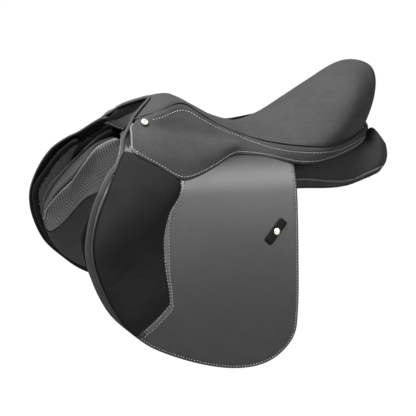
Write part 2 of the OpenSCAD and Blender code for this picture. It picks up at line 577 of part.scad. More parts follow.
// A cushion over an outline: a crown that runs out to a thin edge
module knee_pad() {
    rings = 7;
    edge_t = 1.4;
    base_off = 1.3;
    crown_power = 1.3;
    ring = loop([for (s = knee_shares) flap_place(s)], 2);
    mid = flap_place(knee_mid_share);
    n = len(ring);
    function crown(r) = base_off + edge_t + knee_crown * pow(1 - r * r, crown_power);
    function layer(r, off) = [for (p = ring) let (q = mid + (p - mid) * r) bed_at(q.x, q.y, off)];
    outer = [for (k = [1:rings]) each layer(k / rings, crown(k / rings))];
    inner = [for (k = [1:rings]) each layer(k / rings, base_off)];
    pts = concat(outer, inner, [bed_at(mid.x, mid.y, crown(0)), bed_at(mid.x, mid.y, base_off)]);
    b = n * rings;
    function next(k, j) = k * n + (j + 1) % n;
    faces = concat(
        [for (k = [0:rings - 2]) for (j = [0:n - 1]) let (a = k * n + j, c = next(k, j))
            each [[a, c + n, a + n], [a, c, c + n], [b + a, b + a + n, b + c + n], [b + a, b + c + n, b + c]]],
        [for (j = [0:n - 1]) each [[2 * b, next(0, j), j], [2 * b + 1, b + j, b + next(0, j)]]],
        [for (j = [0:n - 1]) let (a = (rings - 1) * n + j, c = next(rings - 1, j))
            each [[a, b + c, b + a], [a, c, b + c]]]);
    color("black") polyhedron(pts, faces, convexity = 8);
}

// Girth webbing and straps, between the flap and the sweat flap
strap_mid_p = 18;
strap_top_q = 80;
web_run_q = [51, 94];
web_end = 8;
module girth_web() {
    half = strap_pitch + strap_w / 2 + web_end;
    color("beige") bed_sheet([[strap_mid_p - half, web_run_q[0]], [strap_mid_p + half, web_run_q[0]],
        [strap_mid_p + half, web_run_q[1]], [strap_mid_p - half, web_run_q[1]]], web_off - web_t, web_off);
}
function strap_point(q, off) = let (a = bed_angle(strap_top_q), d = bed_section(q, off) - bed_section(strap_top_q, 0))
    [d.x * sin(a) - d.y * cos(a), d.x * cos(a) + d.y * sin(a)];
module strap(k) {
    foot = strap_top_q + strap_len;
    steps = bed_steps(strap_top_q, foot);
    outer = [for (q = steps) strap_point(q, strap_off)];
    inner = [for (i = [len(steps) - 1:-1:0]) strap_point(steps[i], strap_off - strap_t)];
    color("black") on_bed(strap_mid_p + k * strap_pitch, strap_top_q, 0) rotate([0, 0, -k * strap_fan])
        difference() {
            translate([-strap_w / 2, 0, 0]) rotate([90, 0, 90]) linear_extrude(strap_w) polygon(concat(outer, inner));
            for (i = [1:hole_n]) let (q = foot - i * hole_pitch, c = strap_point(q, strap_off))
                translate([0, c.x, c.y]) rotate([bed_angle(q) - bed_angle(strap_top_q), 0, 0])
                    cylinder(d = hole_d, h = over, center = true);
        }
}

// Keeper on the flap, held by its stud
module keeper() {
    color("black") keeper_place() translate([0, 0, gap]) difference() {
        linear_extrude(keeper_t) square([keeper_len, keeper_w], center = true);
        cylinder(d = shank_d + slack, h = 2 * over, center = true);
    }
}
module keeper_stud() {
    color("gainsboro") keeper_place() translate([0, 0, keeper_t + 2 * gap]) stud(keeper_stud_d, keeper_t + 2 * gap + flap_t);
}

tree();
gullet_plate();
gullet_screws();
seat_webbing();
seat_foam();
seat_cover();
pommel_facing();
side(false) stirrup_bar();  // stirrup_bar_l
side(true) stirrup_bar();  // stirrup_bar_r
bar_rivets();
side(false) catch();  // catch_l
side(true) catch();  // catch_r
catch_pins();
side(false) skirt_band();  // skirt_band_l
side(true) skirt_band();  // skirt_band_r
side(false) skirt();  // skirt_l
side(true) skirt();  // skirt_r
side(false) seat_stud();  // seat_stud_l
side(true) seat_stud();  // seat_stud_r
side(false) panel();  // panel_l
side(true) panel();  // panel_r
side(false) sweat_flap();  // sweat_flap_l
side(true) sweat_flap();  // sweat_flap_r
side(false) knee_block();  // knee_block_l
side(true) knee_block();  // knee_block_r
side(false) girth_web();  // girth_web_l
side(true) girth_web();  // girth_web_r
side(false) strap(-1);  // strap_l1
side(false) strap(0);  // strap_l2
side(false) strap(1);  // strap_l3
side(true) strap(-1);  // strap_r1
side(true) strap(0);  // strap_r2
side(true) strap(1);  // strap_r3
side(false) flap_root();  // flap_root_l
side(true) flap_root();  // flap_root_r
side(false) flap();  // flap_l
side(true) flap();  // flap_r
side(false) knee_pad();  // knee_pad_l
side(true) knee_pad();  // knee_pad_r
side(false) keeper();  // keeper_l
side(true) keeper();  // keeper_r
side(false) keeper_stud();  // keeper_stud_l
side(true) keeper_stud();  // keeper_stud_r
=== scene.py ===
import math
import bpy
import numpy as np
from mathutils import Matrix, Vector
from mathutils.geometry import delaunay_2d_cdt


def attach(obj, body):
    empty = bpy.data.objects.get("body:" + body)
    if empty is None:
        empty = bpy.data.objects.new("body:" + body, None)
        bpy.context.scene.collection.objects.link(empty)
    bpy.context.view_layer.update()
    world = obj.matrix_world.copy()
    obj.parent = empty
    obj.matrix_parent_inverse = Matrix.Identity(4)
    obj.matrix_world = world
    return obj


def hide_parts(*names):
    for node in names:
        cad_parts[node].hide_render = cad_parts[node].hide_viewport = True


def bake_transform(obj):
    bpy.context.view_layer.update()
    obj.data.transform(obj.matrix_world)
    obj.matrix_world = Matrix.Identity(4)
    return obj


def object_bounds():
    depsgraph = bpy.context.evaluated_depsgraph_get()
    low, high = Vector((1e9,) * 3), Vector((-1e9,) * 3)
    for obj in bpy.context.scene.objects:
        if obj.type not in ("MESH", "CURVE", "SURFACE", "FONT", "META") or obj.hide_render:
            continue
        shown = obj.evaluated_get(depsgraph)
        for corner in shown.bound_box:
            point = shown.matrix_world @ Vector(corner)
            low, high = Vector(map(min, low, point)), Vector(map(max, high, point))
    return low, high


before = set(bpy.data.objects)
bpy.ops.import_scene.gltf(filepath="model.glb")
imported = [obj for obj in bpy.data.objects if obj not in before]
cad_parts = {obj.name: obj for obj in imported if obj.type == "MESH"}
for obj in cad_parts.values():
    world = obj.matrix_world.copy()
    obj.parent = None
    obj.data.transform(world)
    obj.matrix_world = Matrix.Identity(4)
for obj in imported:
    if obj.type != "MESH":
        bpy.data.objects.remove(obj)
cad_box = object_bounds()
MM = 0.001
SIDES = (("l", -1), ("r", 1))


# Curves and flat outlines

def spline(points, steps, closed=False):
    """A smooth curve through the points, with so many steps between neighbours."""
    p = np.asarray(points, float)
    m = len(p)
    out = []
    for i in range(m if closed else m - 1):
        if closed:
            a, b, c, d = p[i - 1], p[i], p[(i + 1) % m], p[(i + 2) % m]
        else:
            a, b, c, d = p[max(i - 1, 0)], p[i], p[i + 1], p[min(i + 2, m - 1)]
        for t in np.arange(steps) / steps:
            out.append(0.5 * (2 * b + (c - a) * t + (2 * a - 5 * b + 4 * c - d) * t ** 2
                              + (3 * b - a - 3 * c + d) * t ** 3))
    if not closed:
        out.append(p[-1])
    return np.array(out)


def lengths(line):
    """Distance along a line at each of its points."""
    return np.concatenate([[0], np.cumsum(np.linalg.norm(np.diff(line, axis=0), axis=1))])


def along(line, at):
    """Points of a line at given distances along it."""
    s = lengths(line)
    return np.stack([np.interp(at, s, line[:, k]) for k in range(line.shape[1])], -1)


def evenly(line, count):
    """So many points evenly along a line."""
    return along(line, np.linspace(0, lengths(line)[-1], count))


def spaced(loop, step):
    """A closed outline with points about so far apart."""
    shut = np.vstack([loop, loop[:1]])
    count = max(8, int(round(lengths(shut)[-1] / step)))
    return evenly(shut, count + 1)[:-1]


def area_of(loop):
    """The area in an outline, below zero for a clockwise one."""
    x, y = loop[:, 0], loop[:, 1]
    return 0.5 * float(np.sum(x * np.roll(y, -1) - y * np.roll(x, -1)))


def counter(loop):
    """The outline run counter-clockwise."""
    return loop if area_of(loop) > 0 else loop[::-1]


def inset(loop, d):
    """A counter-clockwise outline moved inwards by d."""
    t = np.roll(loop, -1, 0) - np.roll(loop, 1, 0)
    t /= np.linalg.norm(t, axis=1)[:, None]
    return loop + d * np.stack([-t[:, 1], t[:, 0]], -1)


def inside(points, loop):
    """Which points lie inside an outline."""
    x, y = points[:, 0][:, None], points[:, 1][:, None]
    x1, y1 = loop[:, 0], loop[:, 1]
    x2, y2 = np.roll(x1, -1), np.roll(y1, -1)
    dy = np.where(y2 == y1, 1e-12, y2 - y1)
    cross = ((y1 > y) != (y2 > y)) & (x < (x2 - x1) * (y - y1) / dy + x1)
    return cross.sum(1) % 2 == 1


def within(points, loops):
    """Which points lie in the first outline and in none of the holes, which run the other way round."""
    keep = inside(points, loops[0])
    for hole in loops[1:]:
        keep &= ~inside(points, hole[::-1])
    return keep


def around(sides):
    """Cosines and sines of even steps round a circle."""
    turn = np.linspace(0, 2 * math.pi, sides, endpoint=False)
    return np.cos(turn), np.sin(turn)


def rise(x, start, run):
    """0 up to the start, then up to 1 over the run; a run below zero rises the other way."""
    return np.clip((x - start) / run, 0, 1)


def unit(v):
    """Vectors brought to length 1."""
    v = np.asarray(v, float)
    return v / np.maximum(np.linalg.norm(v, axis=-1, keepdims=True), 1e-9)


# The bed: the curved surface that flaps, straps and panels lie on, in mm on the right side

BED_HALF_W, BED_H, BED_R, SIDE_R = 57, 64, 165, 2150
BED_TOP, BED_LOW, BED_FALL = (math.radians(a) for a in (60, 18, 5))
BED_TURN = BED_R * (BED_TOP - BED_LOW)
SHOULDER = (BED_HALF_W - BED_R * math.cos(BED_TOP), BED_H - BED_R * math.sin(BED_TOP))
SIDE_MID = (SHOULDER[0] + (BED_R - SIDE_R) * math.cos(BED_LOW),
            SHOULDER[1] + (BED_R - SIDE_R) * math.sin(BED_LOW))


def bed_at(p, q, off):
    """The point so far along the bed, down it and off it."""
    p, q, off = np.broadcast_arrays(*(np.asarray(v, float) for v in (p, q, off)))
    top = q < BED_TURN
    a = np.where(top, BED_TOP - q / BED_R, BED_LOW - (q - BED_TURN) / SIDE_R)
    r = np.where(top, BED_R, SIDE_R) + off
    y = np.where(top, SHOULDER[0], SIDE_MID[0]) + r * np.cos(a)
    z = np.where(top, SHOULDER[1], SIDE_MID[1]) + r * np.sin(a)
    c, s = math.cos(BED_FALL), math.sin(BED_FALL)
    return np.stack([p * c + z * s, y, z * c - p * s], -1)


def bed_out(p, q):
    """The outward direction at a place on the bed."""
    return bed_at(p, q, 1) - bed_at(p, q, 0)


def flat_at(p, q, off):
    """The place before it is laid on the bed."""
    return np.stack([p, q, off + 0 * p], -1)


# Meshes

def add(name, data):
    """A new object in the scene."""
    made = bpy.data.objects.new(name, data)
    bpy.context.scene.collection.objects.link(made)
    return made


def piece(name, mesh, looks, sign=1, sharp=50):
    """A piece from points in mm on the right side, faces and, where it has several looks, each face's one.

    sign -1 makes the left piece.
    """
    verts, faces, *kinds = mesh
    verts = np.array(verts, float) * MM
    verts[:, 1] *= sign
    made = bpy.data.meshes.new(name)
    made.from_pydata(verts.tolist(), [], [tuple(f)[::sign] for f in faces])
    for look in looks:
        made.materials.append(look)
    for kind in kinds:
        made.polygons.foreach_set("material_index", np.asarray(kind, np.int32))
    made.shade_smooth()
    made.set_sharp_from_angle(angle=math.radians(sharp))
    made.update()
    return add(name, made)


def settle(made, body, slot=None, *nodes, bend=None):
    """Hides the nodes a piece stands for and ties the piece to its body; with a bend, its place is only baked in and it
    stays untied. The slot is not used.
    """
    if nodes:
        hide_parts(*nodes)
    if bend:
        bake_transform(made)
    else:
        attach(made, body)
    return made


def quads(rows, cols, base=0, wrap=False):
    """Faces of a grid of points, whose columns may close on themselves."""
    out = []
    for i in range(rows - 1):
        a, b = base + i * cols, base + (i + 1) * cols
        for j in range(cols if wrap else cols - 1):
            k = (j + 1) % cols
            out.append((a + j, b + j, b + k, a + k))
    return out


def pipe(rings, sides):
    """Faces of a row of rings, shut at both ends."""
    ends = tuple(range(sides)), tuple((rings - 1) * sides + j for j in range(sides))[::-1]
    return quads(rings, sides, wrap=True) + list(ends)


def shell(outer, inner):
    """A closed wall between two grids of points; the outer grid's quads face outwards."""
    rows, cols = outer.shape[:2]
    n = rows * cols
    faces = quads(rows, cols) + [tuple(reversed(f)) for f in quads(rows, cols, n)]
    rim = [i * cols for i in range(rows)] + [(rows - 1) * cols + j for j in range(1, cols)]
    rim += [i * cols + cols - 1 for i in range(rows - 2, -1, -1)] + list(range(cols - 2, 0, -1))
    for a, b in zip(rim, rim[1:] + rim[:1]):
        faces.append((b, a, n + a, n + b))
    return np.vstack([outer.reshape(-1, 3), inner.reshape(-1, 3)]), faces


def grid_out(grid):
    """Outward directions of a grid of points."""
    return unit(np.cross(np.gradient(grid, axis=0), np.gradient(grid, axis=1)))


def tube(line, radius, sides=10):
    """A round cord along a line, as points and faces."""
    n = len(line)
    t = unit(np.gradient(line, axis=0))
    a = unit(np.cross(t, [0.0, 0.0, 1.0]) + 1e-6)
    for i in range(1, n):
        a[i] = unit(a[i - 1] - t[i] * np.dot(a[i - 1], t[i]))
    b = np.cross(t, a)
    c, s = (x[None, :, None] for x in around(sides))
    r = np.broadcast_to(np.asarray(radius, float), (n,))[:, None, None]
    rings = line[:, None] + r * (c * a[:, None] + s * b[:, None])
    return rings.reshape(-1, 3), [f[::-1] for f in pipe(n, sides)]


BAND_END, BAND_SIDE_POWER, BAND_FACE_POWER = 0.15, 0.5, 0.8


def band(line, outs, width, thick, sides=14, taper=14.0):
    """A flat band with rounded edges along a line, square to the outward directions; it narrows at its end."""
    left = np.clip((lengths(line)[-1] - lengths(line)) / taper, 0, 1)[:, None, None]
    left = BAND_END + (1 - BAND_END) * np.sin(left * math.pi / 2)
    t = unit(np.gradient(line, axis=0))
    side = unit(np.cross(t, outs))
    up = np.cross(side, t)
    c, s = around(sides)
    x = np.sign(c) * np.abs(c) ** BAND_SIDE_POWER * np.broadcast_to(width, len(line))[:, None] / 2
    z = np.sign(s) * np.abs(s) ** BAND_FACE_POWER * thick / 2
    rings = line[:, None] + left * (x[:, :, None] * side[:, None] + z[None, :, None] * up[:, None])
    return rings.reshape(-1, 3), pipe(len(line), sides)


def together(*meshes):
    """Several sets of points and faces as one, with a number for the set each face came from."""
    verts, faces, kinds, base = [], [], [], 0
    for k, (v, f) in enumerate(meshes):
        verts.append(v)
        faces += [tuple(base + i for i in face) for face in f]
        kinds += [k] * len(f)
        base += len(v)
    return np.vstack(verts), faces, kinds


RIM_STEP, HOLE_STEP, RIM_AIR = 0.6, 0.4, 0.45


def sheet(loop, low, high, place=bed_at, step=9.0, edge=1.0, holes=()):
    """A sheet cut to an outline, with eased edges: points and faces. place lays a flat point at a height."""
    loop = counter(spaced(loop, step * RIM_STEP))
    loops = [loop] + [counter(spaced(h, step * HOLE_STEP))[::-1] for h in holes]
    rims = [inset(r, edge) for r in loops]
    flat = [tuple(v) for r in rims for v in r]
    ties, base = [], 0
    for r in rims:
        ties += [(base + i, base + (i + 1) % len(r)) for i in range(len(r))]
        base += len(r)
    lo, hi = loop.min(0), loop.max(0)
    xs, ys = np.arange(lo[0], hi[0], step), np.arange(lo[1], hi[1], step)
    gx, gy = np.meshgrid(xs, ys)
    gx = gx + (np.arange(len(ys)) % 2)[:, None] * step / 2
    pts = np.stack([gx.ravel(), gy.ravel()], -1)
    flat += [tuple(v) for v in pts[within(pts, [inset(r, step * RIM_AIR) for r in rims])]]
    cut = delaunay_2d_cdt([Vector(v) for v in flat], ties, [], 0, 1e-6)
    spots = np.array([tuple(v) for v in cut[0]])
    tris = np.array([f for f in cut[2] if len(f) == 3])
    tris = tris[within(spots[tris].mean(1), rims)]
    a, b, c = (spots[tris[:, k]] for k in range(3))
    turn = (b - a)[:, 0] * (c - a)[:, 1] - (b - a)[:, 1] * (c - a)[:, 0]
    tris[turn < 0] = tris[turn < 0][:, ::-1]
    index = {o: new for new, old in enumerate(cut[3]) for o in old}
    n = len(spots)
    verts = [place(*spots.T, h) for h in (high, low)]
    faces = [tuple(t) for t in tris.tolist()] + [tuple(t)[::-1] for t in (n + tris).tolist()]
    first, base = 0, 2 * n
    ease = min(edge, (high - low) / 2 - 0.01)
    for r in loops:
        m = len(r)
        verts += [place(*r.T, h) for h in (high - ease, low + ease)]
        ids = [index[first + i] for i in range(m)]
        for i in range(m):
            j = (i + 1) % m
            faces.append((base + i, base + j, ids[j], ids[i]))
            faces.append((base + m + i, base + m + j, base + j, base + i))
            faces.append((n + ids[i], n + ids[j], base + m + j, base + m + i))
        first += m
        base += 2 * m
    return np.vstack(verts), faces


def swell(verts, faces, held, cap, pressure=4.0, frames=20):
    """Cloth under a light pressure on the right side; held points stay, and none moves more than cap mm."""
    scene = bpy.context.scene
    mesh = bpy.data.meshes.new("swell")
    mesh.from_pydata((verts * MM).tolist(), [], faces)
    made = add("swell", mesh)
    made.vertex_groups.new(name="held").add([int(i) for i in held], 1.0, "REPLACE")
    cloth = made.modifiers.new("cloth", "CLOTH")
    cloth.settings.use_pressure = True
    cloth.settings.uniform_pressure_force = pressure
    cloth.settings.effector_weights.gravity = 0
    cloth.settings.vertex_group_mass = "held"
    cloth.collision_settings.use_collision = False
    cloth.point_cache.frame_start, cloth.point_cache.frame_end = 1, frames
    for k in range(1, frames + 1):
        scene.frame_set(k)
    done = made.evaluated_get(bpy.context.evaluated_depsgraph_get()).data
    moved = np.empty(len(verts) * 3)
    done.vertices.foreach_get("co", moved)
    moved = moved.reshape(-1, 3) / MM - verts
    far = np.linalg.norm(moved, axis=1, keepdims=True)
    moved *= np.minimum(1, cap / np.maximum(far, 1e-9))
    print("swell", len(verts), "points, moved up to", round(float(far.max()), 2), "mm")
    bpy.data.objects.remove(made)
    bpy.data.meshes.remove(mesh)
    scene.frame_set(1)
    return verts + moved


# Finishes

def pattern_tree(name, **scales):
    """An empty node group from a place and scales to a shade and a height, with its ends."""
    tree = bpy.data.node_groups.new(name, "ShaderNodeTree")
    tree.interface.new_socket("Vector", in_out="INPUT", socket_type="NodeSocketVector")
    for label, value in scales.items():
        label = label.replace("_", " ")
        tree.interface.new_socket(label, in_out="INPUT", socket_type="NodeSocketFloat").default_value = value
    for label in ("Shade", "Height"):
        tree.interface.new_socket(label, in_out="OUTPUT", socket_type="NodeSocketFloat")
    return tree, tree.nodes.new("NodeGroupInput").outputs, tree.nodes.new("NodeGroupOutput").inputs


def feed(tree, socket, value):
    """Gives a socket a number, or links another socket to it."""
    if isinstance(value, (int, float)):
        socket.default_value = value
    else:
        tree.links.new(value, socket)


def noise(tree, vector, scale, detail, rough=0.5):
    """A noise texture's value."""
    node = tree.nodes.new("ShaderNodeTexNoise")
    for label, value in (("Detail", detail), ("Roughness", rough), ("Vector", vector), ("Scale", scale)):
        feed(tree, node.inputs[label], value)
    return node.outputs["Fac"]


def math_node(tree, kind, a, b):
    """The result of a sum of two numbers or sockets."""
    node = tree.nodes.new("ShaderNodeMath")
    node.operation = kind
    for value, socket in zip((a, b), node.inputs):
        feed(tree, socket, value)
    return node.outputs[0]


TUFT_SCALE, PILE_SHARE, TUFT_SHARE, PATCH_SHARE = 260.0, 0.25, 0.4, 0.35
TONE_SCALE, SLUB_SCALE = 35.0, 120.0


def nap_group():
    """Brushed pile: patches that lie different ways, and a fine felted height."""
    tree, given, made = pattern_tree("suede_nap", Patch_Scale=28.0, Pile_Scale=1500.0)
    patch = noise(tree, given["Vector"], given["Patch Scale"], 3, 0.6)
    pile = noise(tree, given["Vector"], given["Pile Scale"], 4, 0.65)
    tuft = noise(tree, given["Vector"], TUFT_SCALE, 3, 0.6)
    parts = [math_node(tree, "MULTIPLY", *part)
             for part in ((pile, PILE_SHARE), (tuft, TUFT_SHARE), (patch, PATCH_SHARE))]
    fine = math_node(tree, "ADD", parts[0], parts[1])
    feed(tree, made["Shade"], math_node(tree, "ADD", fine, parts[2]))
    feed(tree, made["Height"], pile)
    return tree


def grain_group():
    """Fine pebbled grain with creases between the pebbles."""
    tree, given, made = pattern_tree("leather_grain", Grain_Scale=900.0)
    cells = tree.nodes.new("ShaderNodeTexVoronoi")
    cells.feature = "SMOOTH_F1"
    feed(tree, cells.inputs["Vector"], given["Vector"])
    feed(tree, cells.inputs["Scale"], given["Grain Scale"])
    feed(tree, made["Shade"], noise(tree, given["Vector"], TONE_SCALE, 3, 0.55))
    feed(tree, made["Height"], cells.outputs["Distance"])
    return tree


def weave_group():
    """Plain weave: two crossed sets of ridges."""
    tree, given, made = pattern_tree("plain_weave", Thread_Scale=400.0)
    waves = []
    for way in ("X", "Z"):
        node = tree.nodes.new("ShaderNodeTexWave")
        node.bands_direction = way
        feed(tree, node.inputs["Vector"], given["Vector"])
        feed(tree, node.inputs["Scale"], given["Thread Scale"])
        waves.append(node.outputs["Fac"])
    feed(tree, made["Height"], math_node(tree, "MULTIPLY", *waves))
    feed(tree, made["Shade"], noise(tree, given["Vector"], SLUB_SCALE, 2))
    return tree


NAP, GRAIN, WEAVE = nap_group(), grain_group(), weave_group()
RAMP_STOPS = 0.3, 0.7


def finish(name, pattern, dark, light, rough, bump, depth, scale=None, **plain):
    """A material whose colour, roughness and height come from a pattern; plain sets the shader's own sockets."""
    mat = bpy.data.materials.new(name)
    mat.use_nodes = True
    new, link = mat.node_tree.nodes.new, mat.node_tree.links.new
    shader = mat.node_tree.nodes["Principled BSDF"]
    made = new("ShaderNodeGroup")
    made.node_tree = pattern
    link(new("ShaderNodeTexCoord").outputs["Object"], made.inputs["Vector"])
    if scale:
        made.inputs[len(made.inputs) - 1].default_value = scale
    ramp, spread, relief = new("ShaderNodeValToRGB"), new("ShaderNodeMapRange"), new("ShaderNodeBump")
    for stop, place, tone in zip(ramp.color_ramp.elements, RAMP_STOPS, (dark, light)):
        stop.position, stop.color = place, (*tone, 1)
    spread.inputs["To Min"].default_value, spread.inputs["To Max"].default_value = rough
    relief.inputs["Strength"].default_value, relief.inputs["Distance"].default_value = bump, depth * MM
    for given, node, taken, out, socket in (("Shade", ramp, "Fac", "Color", "Base Color"),
                                            ("Shade", spread, "Value", "Result", "Roughness"),
                                            ("Height", relief, "Height", "Normal", "Normal")):
        link(made.outputs[given], node.inputs[taken])
        link(node.outputs[out], shader.inputs[socket])
    for label, value in plain.items():
        shader.inputs[label.replace("_", " ")].default_value = value
    return mat


def grey(v, warm=0.0):
    """A grey, a little warm if asked."""
    return (v * (1 + warm), v, v * (1 - warm))


def suede(name, dark, light, sheen, gloss):
    """Brushed suede between two greys."""
    return finish(name, NAP, grey(dark), grey(light), (0.85, 0.98), 0.35, 0.8,
                  Sheen_Weight=sheen, Sheen_Roughness=0.5, Specular_IOR_Level=gloss)


SEAT_SUEDE = suede("seat_suede", 0.046, 0.076, 0.03, 0.03)
TRIM_SUEDE = suede("trim_suede", 0.065, 0.1, 0.015, 0.02)
KNEE_SUEDE = suede("knee_suede", 0.017, 0.03, 0.015, 0.02)
PANEL_SUEDE = suede("panel_suede", 0.05, 0.08, 0.015, 0.02)
FLAP_LEATHER = finish("flap_leather", GRAIN, grey(0.014), grey(0.02), (0.41, 0.46), 0.12, 0.25,
                      Specular_IOR_Level=0.4)
BEARING_LEATHER = finish("bearing_leather", GRAIN, grey(0.13), grey(0.17), (0.45, 0.55), 0.25, 0.3)
BLACK_LEATHER = finish("strap_leather", GRAIN, grey(0.006), grey(0.01), (0.55, 0.65), 0.25, 0.3,
                       Specular_IOR_Level=0.06)
EDGE_LEATHER = finish("edge_leather", GRAIN, grey(0.05), grey(0.07), (0.35, 0.45), 0.15, 0.2)
# A pale nap. On the panel's piping it is the piping's own colour. On the skirt's raw front edge it is partly painted
# highlight, and on the flap's patch in front of the skirt it is painted highlight.
PALE_EDGE_AND_HIGHLIGHT = finish("pale_edge_and_highlight", NAP, grey(0.13), grey(0.2), (0.7, 0.85), 0.3, 0.5, Specular_IOR_Level=0.1)
WEBBING = finish("webbing", WEAVE, (0.4, 0.35, 0.27), (0.55, 0.5, 0.4), (0.8, 0.95), 0.5, 0.4)
FOAM = finish("foam", NAP, (0.48, 0.43, 0.32), (0.6, 0.55, 0.42), (0.9, 1.0), 0.4, 1.0, scale=500.0)
BLOCK_COVER = finish("block_cover", NAP, grey(0.085), grey(0.13), (0.85, 0.98), 0.3, 0.6,
                     Specular_IOR_Level=0.05)
LAMINATE = finish("tree_laminate", GRAIN, (0.045, 0.036, 0.03), (0.08, 0.065, 0.055), (0.55, 0.7), 0.3, 0.4,
                  scale=300.0)
THREAD = finish("thread", WEAVE, grey(0.72), grey(0.86), (0.6, 0.75), 0.3, 0.15, scale=1500.0)
STEEL = finish("steel", GRAIN, grey(0.5), grey(0.6), (0.3, 0.42), 0.05, 0.05, Metallic=1.0)
STUD_METAL = finish("stud_metal", GRAIN, grey(0.78, 0.01), grey(0.85, 0.01), (0.12, 0.2), 0.03, 0.03, Metallic=1.0)
STUD_RIM = finish("stud_rim", GRAIN, (0.5, 0.42, 0.3), (0.62, 0.54, 0.4), (0.22, 0.32), 0.03, 0.03, Metallic=1.0)


# Stitches and dots, set along lines by one node tree

def stitch_tree():
    """Beads of thread at an even pitch along lines, standing along their outward directions."""
    tree = bpy.data.node_groups.new("stitch_row", "GeometryNodeTree")
    face = tree.interface
    face.new_socket("Lines", in_out="INPUT", socket_type="NodeSocketGeometry")
    for label in ("Pitch", "Stitch Length", "Thread Width", "Thread Height"):
        face.new_socket(label, in_out="INPUT", socket_type="NodeSocketFloat")
    face.new_socket("Thread", in_out="INPUT", socket_type="NodeSocketMaterial")
    face.new_socket("Stitches", in_out="OUTPUT", socket_type="NodeSocketGeometry")
    new, link = tree.nodes.new, tree.links.new
    gin, gout = new("NodeGroupInput"), new("NodeGroupOutput")
    curve, even = new("GeometryNodeMeshToCurve"), new("GeometryNodeResampleCurve")
    even.mode = "LENGTH"
    link(gin.outputs["Lines"], curve.inputs[0])
    link(curve.outputs[0], even.inputs["Curve"])
    link(gin.outputs["Pitch"], even.inputs["Length"])
    out = new("GeometryNodeInputNamedAttribute")
    out.data_type = "FLOAT_VECTOR"
    out.inputs["Name"].default_value = "out"
    run, stand = new("FunctionNodeAlignRotationToVector"), new("FunctionNodeAlignRotationToVector")
    run.axis, stand.axis, stand.pivot_axis = "X", "Z", "X"
    link(new("GeometryNodeInputTangent").outputs[0], run.inputs["Vector"])
    link(run.outputs[0], stand.inputs["Rotation"])
    link(out.outputs[0], stand.inputs["Vector"])
    bead = new("GeometryNodeMeshUVSphere")
    bead.inputs["Segments"].default_value, bead.inputs["Rings"].default_value = 8, 5
    bead.inputs["Radius"].default_value = 0.5
    size = new("ShaderNodeCombineXYZ")
    for label, axis in (("Stitch Length", "X"), ("Thread Width", "Y"), ("Thread Height", "Z")):
        link(gin.outputs[label], size.inputs[axis])
    spread, real = new("GeometryNodeInstanceOnPoints"), new("GeometryNodeRealizeInstances")
    smooth, paint = new("GeometryNodeSetShadeSmooth"), new("GeometryNodeSetMaterial")
    link(even.outputs[0], spread.inputs["Points"])
    link(bead.outputs["Mesh"], spread.inputs["Instance"])
    link(stand.outputs[0], spread.inputs["Rotation"])
    link(size.outputs[0], spread.inputs["Scale"])
    link(spread.outputs[0], real.inputs[0])
    link(real.outputs[0], smooth.inputs[0])
    link(smooth.outputs[0], paint.inputs["Geometry"])
    link(gin.outputs["Thread"], paint.inputs["Material"])
    link(paint.outputs[0], gout.inputs[0])
    return tree


STITCH_ROW = stitch_tree()


def stitches(name, lines, sign, thread=None, pitch=5.6, length=2.5, width=1.1, height=0.9):
    """Stitches along lines, each given as points and outward directions in mm on the right side."""
    verts, outs, edges, base = [], [], [], 0
    for points, out in lines:
        verts.append(points)
        outs.append(out)
        edges += [(base + i, base + i + 1) for i in range(len(points) - 1)]
        base += len(points)
    verts, outs = np.vstack(verts) * MM, np.vstack(outs).astype(np.float32)
    verts[:, 1] *= sign
    outs[:, 1] *= sign
    mesh = bpy.data.meshes.new(name + "_lines")
    mesh.from_pydata(verts.tolist(), edges, [])
    mesh.attributes.new("out", "FLOAT_VECTOR", "POINT").data.foreach_set("vector", outs.ravel())
    made = add(name, mesh)
    rows = made.modifiers.new("stitches", "NODES")
    rows.node_group = STITCH_ROW
    values = {"Pitch": pitch * MM, "Stitch Length": length * MM, "Thread Width": width * MM,
              "Thread Height": height * MM, "Thread": thread or THREAD}
    for item in STITCH_ROW.interface.items_tree:
        if item.in_out == "INPUT" and item.name in values:
            rows[item.identifier] = values[item.name]
    bpy.context.view_layer.update()
    done = bpy.data.meshes.new_from_object(made.evaluated_get(bpy.context.evaluated_depsgraph_get()))
    made.modifiers.remove(rows)
    made.data = done
    done.name = name
    return made


def sided(name, s):
    """A name for one side, where it ends in _."""
    return name + s if name.endswith("_") else name


def both(name, mesh, looks, body, slot, *nodes, bend=None, sharp=50):
    """A piece on each side, tied to its body unless it has a bend, with the nodes it stands for hidden. The slot is not
    used.
    """
    return [settle(piece(name + s, mesh, looks, sign, sharp), sided(body, s), slot, *(node + s for node in nodes),
                   bend=bend and bend(sign)) for s, sign in SIDES]


def sew(name, rows, body, *thread, slot=None, bend=None):
    """The same rows of stitches on each side."""
    for s, sign in SIDES:
        settle(stitches(name + s, rows, sign, *thread), sided(body, s), slot, bend=bend and bend(sign))


# Seat

SEAT_LEN, SEAT_HALF, CANTLE_H, POMMEL_AHEAD = 428, 122, 155, 112
PROFILE_SHARES = [[0, 0.815], [0.047, 0.838], [0.107, 0.8], [0.192, 0.66], [0.271, 0.526], [0.355, 0.43],
                  [0.439, 0.377], [0.53, 0.392], [0.636, 0.5], [0.741, 0.661], [0.841, 0.846], [0.937, 1.002],
                  [1.033, 0.932], [1.042, 0.722], [0.994, 0.465], [0.972, 0.232]]
SEAM_SHARES = [[-0.111, 0.33, 0.654], [0, 0.361, 0.703], [0.107, 0.262, 0.735], [0.187, 0.344, 0.594],
               [0.265, 0.385, 0.445], [0.352, 0.467, 0.333], [0.425, 0.598, 0.274], [0.504, 0.762, 0.242],
               [0.594, 0.914, 0.226], [0.678, 1, 0.213], [0.757, 0.943, 0.206], [0.822, 0.82, 0.206],
               [0.874, 0.672, 0.206], [0.916, 0.541, 0.213], [0.944, 0.434, 0.213], [0.963, 0.344, 0.219]]
